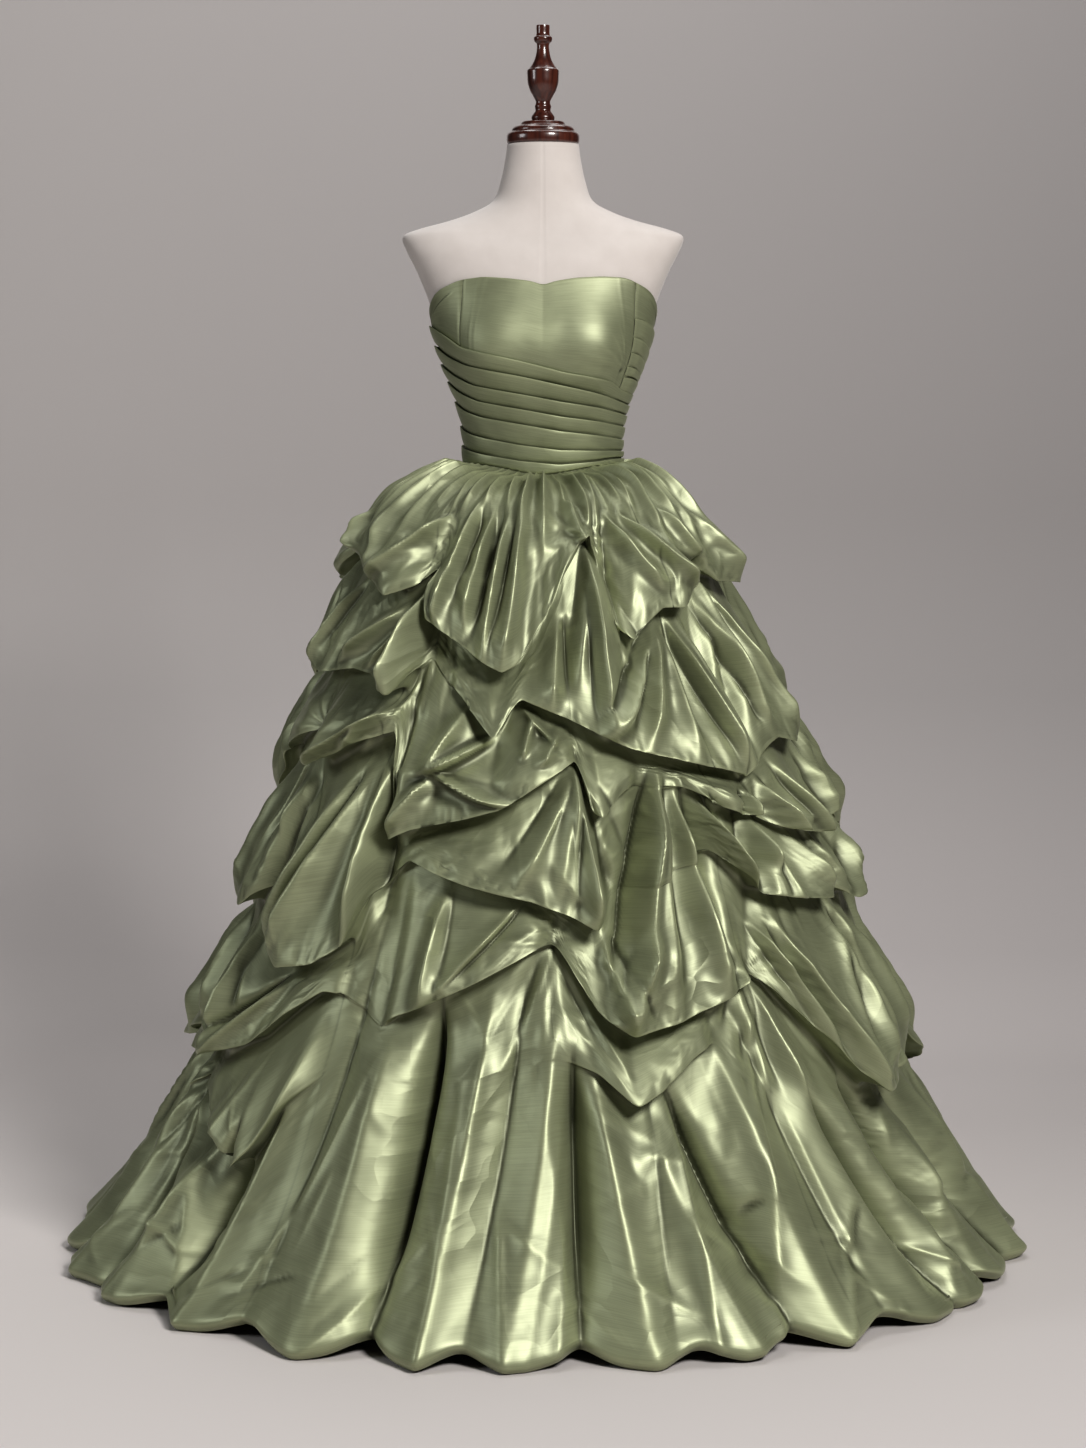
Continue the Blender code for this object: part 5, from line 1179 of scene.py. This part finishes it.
def gathers(bearing, height, radius):
    """Narrow ridges at the waist seam that widen and die out as they fall."""
    drop = np.clip(waist_seam(bearing) - height, 0, None)
    rise = 0.0 * height
    for middle, drift, length, lift, narrow in GATHERS:
        aside = np.radians(wrap(bearing - middle - drift * drop)) * radius
        fade = smooth((drop + 3 * MM) / (14 * MM)) * smooth((length - drop) / (0.7 * length))
        rise = rise + lift * fade * crest(aside, narrow + 0.12 * drop)
    return rise


print("folds:", len(FLUTES) + len(ON_SWAGS), " gathers:", len(GATHERS), " fans:", len(FANS))

# %% [markdown]
# Besides the folds, taffeta that has been caught up keeps short straight creases.
# They start where the cloth is pinched, at a tack or at the low corner of a swag,
# and run a hand's length along the pull.  A loop sends a few from every such place,
# with a seeded choice of direction and length, and many more lie anywhere.

# %% Short creases
CREASES_AT_EACH, CREASES_ANYWHERE = 4, 190
ROUGH_RADIUS = (0, 1), (0.66, 0.25)      # of the skirt, at two heights


def crease_lines():
    """Short creases as (bearing, height, bearing, height, rise, width)."""
    places = [(b, z, 0.0) for b, z in tack_places()]
    for table in ALL_SWAGS:
        for bearing, _ in corners(table):
            places.append((bearing, float(table_line(table, 1, np.array(bearing))) * CM + 6 * MM, pi))
    for bearing, height, turn in places:
        for _ in range(CREASES_AT_EACH):
            angle = turn + chance.normal(0, 0.75)
            start, length = chance.uniform(0.004, 0.03), chance.uniform(0.05, 0.16)
            yield radiating(bearing, height, angle, start, length, chance.uniform(1.2, 3.2) * MM)
    for _ in range(CREASES_ANYWHERE):
        bearing, height = chance.uniform(-180, 180), chance.uniform(0.02, 0.98)
        angle = chance.normal(0, 0.6) + pi / 2 * (chance.random() < 0.35)
        length, rise = chance.uniform(0.05, 0.17), chance.uniform(1.2, 3.4) * MM
        yield radiating(bearing, height, angle, 0.0, length, rise)


def radiating(bearing, height, angle, start, length, rise):
    """A crease that leaves a place at an angle from straight down."""
    radius = float(np.interp(-height, [-row[0] for row in SKIRT_BODY], [row[1] for row in SKIRT_BODY]))
    across, down = np.degrees(1.0 / radius) * np.sin(angle), np.cos(angle)
    end = start + length
    return (bearing + across * start, height - down * start, bearing + across * end, height - down * end,
            rise, chance.uniform(4.0, 10.0) * MM)


CREASES = list(crease_lines())


def short_creases(bearing, height, radius):
    """Height of the short creases over the sheet: bearing is one row, the rest are sheets."""
    rise = np.zeros(height.shape)
    for b0, z0, b1, z1, lift, width in CREASES:
        middle, reach = 0.5 * (b0 + b1), 0.5 * abs(b1 - b0) + 6.0
        near = np.nonzero(np.abs(wrap(bearing - middle)) < reach)[0]
        if not len(near):
            continue
        r, z = radius[:, near], height[:, near]
        east, south = np.radians(wrap(bearing[near] - b0)) * r, z0 - z
        run = np.radians(b1 - b0) * np.interp(z0, *ROUGH_RADIUS), z0 - z1
        length = np.hypot(*run) + 1e-6
        along_it = (east * run[0] + south * run[1]) / length
        aside = (east * run[1] - south * run[0]) / length
        share = along_it / length
        fade = smooth(share / 0.15) * smooth((1 - share) / 0.6)
        rise[:, near] += lift * fade * crest(aside, width)
    return rise


print("creases:", len(CREASES))

# %% The skirt before it settles
def laid_skirt(columns_round, rows_down, fine=False):
    """Points of the skirt [row, column, xyz], and what the settling needs to know.

    Positions down the path are counted in control points, from 0 at the waist.
    """
    columns = np.linspace(-COLUMNS / 2, COLUMNS / 2, columns_round + 1)[:-1]
    bearing, at = column_bearing(columns), rows_by_length(rows_down)
    radius, height, face = (bspline(c, at) for c in control_sections(bearing))
    radius_step, height_step = np.gradient(radius, at, axis=0), np.gradient(height, at, axis=0)
    length = np.hypot(radius_step, height_step) + 1e-9
    bearings = np.broadcast_to(bearing, radius.shape)
    face = np.clip(face, 0, 1)
    from_waist = at[:, None] + 0 * radius
    outward = smooth((from_waist - 4.0) / 2.0)       # below the waist's puff folds only move outward
    out, up = outward - (1 - outward) * height_step / length, (1 - outward) * radius_step / length
    lift = standing_folds(bearings, height, radius) + fans(bearings, height, radius)
    if fine:
        lift = lift + short_creases(bearing, height, radius)
    lift = lift - SETTLED_IN * smooth((1.02 - height) / 0.12) * smooth(height / 0.3)
    lift = face * lift * smooth((from_waist - 0.8) / 3.0)
    lift = lift + gathers(bearings, height, radius) * smooth((9.0 - from_waist) / 1.6)
    lift = lift - GATHERED_IN * smooth(from_waist / 1.5) * smooth((8.0 - from_waist) / 3.0)
    points = place(bearings, radius + lift * out, height + lift * up * smooth(height / (4 * CM)))
    points[..., 2] = np.maximum(points[..., 2], FLOOR_CLEAR)
    return points.astype(np.float32), bearing, at, face, height


start = laid_skirt(88, 60)[0]
print("laid skirt spans", np.ptp(start[..., 0]).round(3), "by", np.ptp(start[..., 1]).round(3), "m")

# %% [markdown]
# ### Letting the cloth settle
# Real folds bend into each other because cloth bends easily but hardly stretches.
# A full cloth simulation could do this, but takes minutes for a sheet this large.  The
# same idea fits in a few lines: give every pair of neighbouring points a length to
# keep, a little longer than they have now round the skirt and a little shorter down
# it, and move them towards it again and again, first on a coarse sheet, then on finer
# ones.  Points at the waist, at the tacks, at the swags' low corners and behind them
# stay held, and none may travel far: a couple of millimetres are enough to blend one
# fold into the next.

# %% A small cloth solver
CARRIED_ON = 0.9           # share of a point's last move that goes on


class Cloth:
    """A sheet that closes round the skirt, with a length to keep along each pair of points."""

    def __init__(self, points, free, ease_round, ease_down, stiffness):
        self.points, self.laid = points.copy(), points.copy()
        self.free = free.astype(np.float32)
        rows, columns = free.shape
        every, after = np.arange(columns), (np.arange(columns) + 1) % columns
        self.pairs = []
        for odd in (0, 1):
            upper = np.arange(odd, rows - 1, 2)
            self.keep(upper, upper + 1, every, every, ease_down, 1.0)
            side = np.arange(odd, columns, 2)
            self.keep(np.arange(rows), np.arange(rows), side, (side + 1) % columns, ease_round, 1.0)
        for odd in (0, 1):
            upper = np.arange(odd, rows - 1, 2)
            ease = 0.5 * (ease_round + ease_down)
            self.keep(upper, upper + 1, every, after, ease, 0.5)
            self.keep(upper, upper + 1, after, every, ease, 0.5)
        for odd in (0, 1):
            upper = np.nonzero(np.arange(rows - 2) // 2 % 2 == odd)[0]
            self.keep(upper, upper + 2, every, every, ease_down, stiffness)
            side = np.nonzero(np.arange(columns) // 2 % 2 == odd)[0]
            self.keep(np.arange(rows), np.arange(rows), side, (side + 2) % columns, ease_round, stiffness)

    def keep(self, row_a, row_b, column_a, column_b, ease, pull):
        """Remember pairs of points and the length between them, with ease added."""
        first, second = np.ix_(row_a, column_a), np.ix_(row_b, column_b)
        length = np.linalg.norm(self.laid[second] - self.laid[first], axis=-1) * (1.0 + ease[first])
        share = self.free[first] + self.free[second] + 1e-9
        self.pairs.append((first, second, length.astype(np.float32), pull / share))

    def settle(self, rounds, reach, outward, sink):
        """Pull all the pairs to length, `rounds` times over.

        No point goes further than `reach`, or further in than `sink` (below 0).
        """
        before = self.points.copy()
        moving = (self.free > 0)[..., None]
        for _ in range(rounds):
            speed = (self.points - before) * CARRIED_ON
            before = self.points.copy()
            self.points += speed * moving
            for first, second, length, pull in self.pairs:
                gap = self.points[second] - self.points[first]
                now = np.sqrt((gap * gap).sum(-1)) + 1e-9
                move = ((now - length) / now * pull)[..., None] * gap
                self.points[first] += move * self.free[first][..., None]
                self.points[second] -= move * self.free[second][..., None]
            travel = self.points - self.laid
            far = np.sqrt((travel * travel).sum(-1)) + 1e-9
            self.points = self.laid + travel * np.minimum(1, reach / far)[..., None]
            inward = np.clip(sink - ((self.points - self.laid) * outward).sum(-1), 0, None)
            self.points += inward[..., None] * outward
            self.points[..., 2] = np.maximum(self.points[..., 2], FLOOR_CLEAR)
        return self.points


def doubled(move):
    """A move known on a coarse sheet, spread smoothly over one twice as fine."""
    middle = (-np.roll(move, 1, 1) + 9 * move + 9 * np.roll(move, -1, 1) - np.roll(move, -2, 1)) / 16
    wide = np.empty((move.shape[0], 2 * move.shape[1], 3), np.float32)
    wide[:, 0::2], wide[:, 1::2] = move, middle
    padded = np.concatenate([2 * wide[:1] - wide[1:2], wide, 2 * wide[-1:] - wide[-2:-1]])
    tall = np.empty((2 * wide.shape[0] - 1,) + wide.shape[1:], np.float32)
    tall[0::2], tall[1::2] = wide, (-padded[:-3] + 9 * padded[1:-2] + 9 * padded[2:-1] - padded[3:]) / 16
    return tall


print("solver ready")

# %% Settling, coarse to fine
# lengths to keep, over those that the cloth has: round it, down it, and down it at the floor
EASE_ROUND, EASE_DOWN, FLOOR_EASE = 0.012, -0.010, 0.04
FIRST_STIR = 0.8 * MM      # small random moves that start the first grid off
# points round, points down, rounds of settling, stiffness against bending
LEVELS = ((176, 121, 60, 0.25), (352, 241, 50, 0.15), (704, 481, 16, 0.06)) if FINE else ((352, 241, 1, 0.3),)


# control points: behind the first swag, from one row to the next, and back to a swag's edge
BEHIND_FIRST, POINTS_A_ROW, BACK_TO_EDGE = 11, 7, 3


def held_points(bearing, at, height, points):
    """How free each point is: 0 at the waist, behind the swags, at the tacks and low corners."""
    free = np.ones(height.shape)
    for row, (_, _, closed) in enumerate(swag_rows(bearing)):
        behind = BEHIND_FIRST + POINTS_A_ROW * row
        free *= 1 - np.clip(1.6 * closed * np.exp(-((at[:, None] - behind) / 0.6) ** 2), 0, 1)
    radius = np.hypot(points[..., 0], points[..., 1])
    for tack_bearing, tack_height in tack_places():
        aside = np.radians(wrap(bearing - tack_bearing))[None, :] * radius
        free *= 1 - np.exp(-(aside ** 2 + (height - tack_height) ** 2) / (12 * MM) ** 2)
    for row, table in enumerate(ALL_SWAGS):
        edge = BEHIND_FIRST + POINTS_A_ROW * row - BACK_TO_EDGE
        at_corner = sum(s * np.exp(-(wrap(bearing - b) / 1.2) ** 2) for b, s in corners(table))
        free *= 1 - np.clip(at_corner, 0, 1) * np.exp(-((at[:, None] - edge) / 0.7) ** 2)
    free[at < 0.7] = 0
    free[-1] = 0.25
    return np.clip(free, 0, 1)


def settled_skirt():
    """The skirt's points after settling, and the bearings of its columns."""
    move = None
    for level, (round_count, down_count, rounds, stiffness) in enumerate(LEVELS):
        points, bearing, at, face, height = laid_skirt(round_count, down_count, level > 0 or len(LEVELS) == 1)
        free = held_points(bearing, at, height, points)
        low = 0.25 + 0.75 * smooth((height - 0.20) / 0.25)
        outward = points * np.array([1, 1, 0], np.float32)
        outward /= np.linalg.norm(outward, axis=-1, keepdims=True) + 1e-9
        on_floor = FLOOR_EASE * smooth((0.16 - height) / 0.10)
        cloth = Cloth(points, free, EASE_ROUND * face ** 2 * low, EASE_DOWN * face ** 2 + on_floor, stiffness)
        if move is None:
            cloth.points += (np.random.default_rng(4).normal(size=points.shape) * FIRST_STIR
                             * (free > 0)[..., None]).astype(np.float32)
        else:
            cloth.points = points + doubled(move)
        reach = (6 * MM + (14 + 2.0 * level) * MM * face).astype(np.float32)
        cloth.settle(rounds, reach, outward, -8 * MM - level * MM)
        move = cloth.points - points
    return cloth.points, bearing


skirt_points, skirt_bearing = settled_skirt()
print("settled:", skirt_points.shape[:2], "points")

# %% [markdown]
# ### Five panels
# The skirt is sewn from five panels.  Each gets its own object, cut from the settled
# sheet along the seams, with the whole sheet's normals, so that light runs across a
# seam as it does on pressed cloth.  The seam itself is a shallow pinch.  The hem is
# turned up inside, which gives the edge its thickness.

# %% The panels
PANELS = (       # name, first and last column
    ("skirt_front", -12, 12), ("skirt_side_right", 12, 30),
    ("skirt_back_right", 30, 44), ("skirt_back_left", -44, -30),
    ("skirt_side_left", -30, -12),
)
SEAM_GROOVE = ((-1, 0.3 * MM), (0, 1.0 * MM), (1, 0.3 * MM))        # column, depth
HEM_TURN = ((1.0 * MM, 0.6 * MM), (1.8 * MM, 5 * MM), (2.2 * MM, 22 * MM))     # inward, up
PATTERN_RADIUS = 0.45      # the weave is laid out for a skirt of this radius


def cut_panels():
    per_column = skirt_points.shape[1] // COLUMNS
    normals = sheet_normals(skirt_points, closed=True)
    points = skirt_points.copy()
    for column in {p[1] for p in PANELS}:
        centre = (column + COLUMNS // 2) * per_column
        for shift, depth in SEAM_GROOVE:
            here = (centre + shift) % points.shape[1]
            points[:, here] -= depth * normals[:, here]
    inward = -points[-1:] * np.array([1, 1, 0]) / np.linalg.norm(points[-1:, :, :2], axis=-1, keepdims=True)
    turn = [points[-1:] + inward * across + np.array([0, 0, up - 0.4 * MM]) for across, up in HEM_TURN]
    whole = np.concatenate([points] + turn)
    whole_normals = np.concatenate([normals] + [inward] * len(turn))
    girth = np.radians(skirt_bearing) * PATTERN_RADIUS
    step = np.linalg.norm(np.diff(whole, axis=0), axis=-1).mean(axis=1)
    down = np.concatenate([[0], np.cumsum(step)])
    for name, first, last in PANELS:
        pick = np.arange(first * per_column, last * per_column + 1) + COLUMNS // 2 * per_column
        across = np.interp(pick, np.arange(len(girth)), girth)
        cloth = np.stack(np.meshgrid(across, down), -1)
        pick = pick % points.shape[1]
        piece = sheet_mesh(name + "_cloth", whole[:, pick], skirt_taffeta, whole_normals[:, pick], cloth)
        dress(piece, name)
        cloth_sheet(points[:, pick])


cut_panels()

# %% [markdown]
# ## The zip
# The back closes with a zip: its tape, two rows of small teeth that meet in the
# middle, a slider and its pull tab.  The tape, the slider and the tab keep their solid
# form and only get a finish.  The teeth are modelled, 1.3 mm apart, as one mesh: a
# hundred separate objects would be slower and no better.

# %% Zip teeth
TOOTH_PITCH = 1.3 * MM
TOOTH_SIZE = Vector((1.9 * MM, 1.0 * MM, 0.8 * MM))
zip_finishes = {"zip_slider": zip_metal, "zip_pull_tab": zip_metal, "zip_tape": zip_tape_cloth}
for node, finish in zip_finishes.items():
    item = bpy.data.objects[node] if node in bpy.data.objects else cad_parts[node]
    item.data.materials.clear()
    item.data.materials.append(finish)


def zip_teeth():
    """Two interleaved rows of small rounded teeth down the tape."""
    work = bmesh.new()
    low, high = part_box("zip_tape")
    count = int((high[2] - low[2] - 6 * MM) / TOOTH_PITCH)
    for k in range(count):
        height = high[2] - 3 * MM - k * TOOTH_PITCH
        outside = float(bodice_radius(180.0, height)) + CLOTH - 0.6 * MM
        side = 1 if k % 2 else -1
        centre = Vector((side * 0.5 * MM, outside + 0.45 * MM, height))
        for vert in bmesh.ops.create_cube(work, size=1.0)["verts"]:
            vert.co = vert.co * TOOTH_SIZE + centre
    bmesh.ops.bevel(work, geom=work.edges[:], offset=0.22 * MM, segments=1, affect="EDGES")
    mesh = bpy.data.meshes.new("zip_teeth")
    work.to_mesh(mesh)
    work.free()
    mesh.materials.append(zip_metal)
    piece = bpy.data.objects.new("zip_teeth", mesh)
    bpy.context.scene.collection.objects.link(piece)
    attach(piece, "gown_and_form")
    return piece


teeth = zip_teeth()
print("zip teeth", len(teeth.data.polygons), "faces")

# %% [markdown]
# ## The studio
# A sheet of grey paper, 2.9 m wide, hangs behind the form and runs forward over a
# grey floor, so there is no line where wall and floor meet.  A large soft key light
# stands high on the right, a weaker one fills the left and a wide one hangs above.
# The room itself gives only a little light.

# %% The studio
BEND_STARTS = 1.2          # metres behind the gown's axis


def backdrop():
    """A sheet of paper, flat, then a wide curve, then upright, and the floor it lies on."""
    material, shader = new_finish("studio_paper", (0.36, 0.345, 0.335), 0.9)
    place_in = add_node(material, "ShaderNodeTexCoord").outputs["Object"]
    split = add_node(material, "ShaderNodeSeparateXYZ")
    # painted shade: the paper's colour is lightest on the floor and grows darker up the wall
    level = add_node(material, "ShaderNodeMapRange", From_Min=0.0, From_Max=1.1)
    shade = add_node(material, "ShaderNodeMix", data_type="RGBA", blend_type="MULTIPLY")
    shade.inputs[0].default_value = 1.0
    join(material, (place_in, split.inputs["Vector"]), (split.outputs["Z"], level.inputs["Value"]),
         (ramp(material, level.outputs["Result"], (0.0, (0.72, 0.675, 0.66)), (0.12, (0.62, 0.58, 0.57)),
               (0.55, (0.51, 0.48, 0.472))), shade.inputs[6]))
    # painted shade: the paper's colour also grows darker towards the right
    painted_side_shade = add_node(material, "ShaderNodeMapRange", From_Min=-1.2, From_Max=1.4)
    join(material, (split.outputs["X"], painted_side_shade.inputs["Value"]),
         (ramp(material, painted_side_shade.outputs["Result"], (0.0, (1.0, 1.0, 1.0)), (1.0, (0.66, 0.66, 0.67))),
          shade.inputs[7]), (shade.outputs[2], shader.inputs["Base Color"]))
    grain = add_node(material, "ShaderNodeTexNoise", Scale=60.0, Detail=3.0)
    join(material, (place_in, grain.inputs["Vector"]))
    bumps(material, shader, (grain.outputs["Fac"], 0.05, 1 * MM))
    # (distance back, height) along the paper: flat, a quarter circle of 1 m, then upright
    profile = [(-7.0, 0.0), (BEND_STARTS, 0.0)]
    profile += [(BEND_STARTS + np.sin(t), 1.0 - np.cos(t)) for t in np.linspace(0.08, pi / 2, 24)]
    profile += [(BEND_STARTS + 1.0, 6.0)]
    floor = ((7.0, -2 * MM), (-7.0, -2 * MM))
    for name, rows, half_width in (("studio_paper", profile[::-1], 1.45), ("studio_floor", floor, 7.0)):
        side = np.linspace(-half_width, half_width, 15)
        points = np.array([[(x, y, z) for x in side] for y, z in rows])
        sheet_mesh(name, points, material)


def softbox(name, where, size, watts, colour, target=(0, 0, 0.8)):
    """A square area light that looks at the gown; the smaller it is, the harder its shadows."""
    light = bpy.data.lights.new(name, "AREA")
    light.size, light.energy, light.color = size, watts, colour
    item = bpy.data.objects.new(name, light)
    item.location = where
    item.rotation_euler = (Vector(target) - Vector(where)).to_track_quat("-Z", "Y").to_euler()
    bpy.context.scene.collection.objects.link(item)


backdrop()
# name, place, size in m, watts, colour
softbox("key", (1.9, -3.5, 3.2), 1.2, 176, (1.0, 0.985, 0.96))
softbox("fill", (-3.9, -1.5, 2.2), 1.3, 30, (0.95, 0.98, 1.0))
softbox("top", (0.2, 0.9, 4.0), 2.2, 44, (1, 1, 1))
world = bpy.data.worlds.new("studio")
world.use_nodes = True
world.node_tree.nodes["Background"].inputs["Color"].default_value = (0.86, 0.85, 0.84, 1)
world.node_tree.nodes["Background"].inputs["Strength"].default_value = 0.03
bpy.context.scene.world = world
bpy.context.scene.view_settings.view_transform = "Standard"
bpy.context.scene.view_settings.look = "Medium High Contrast"
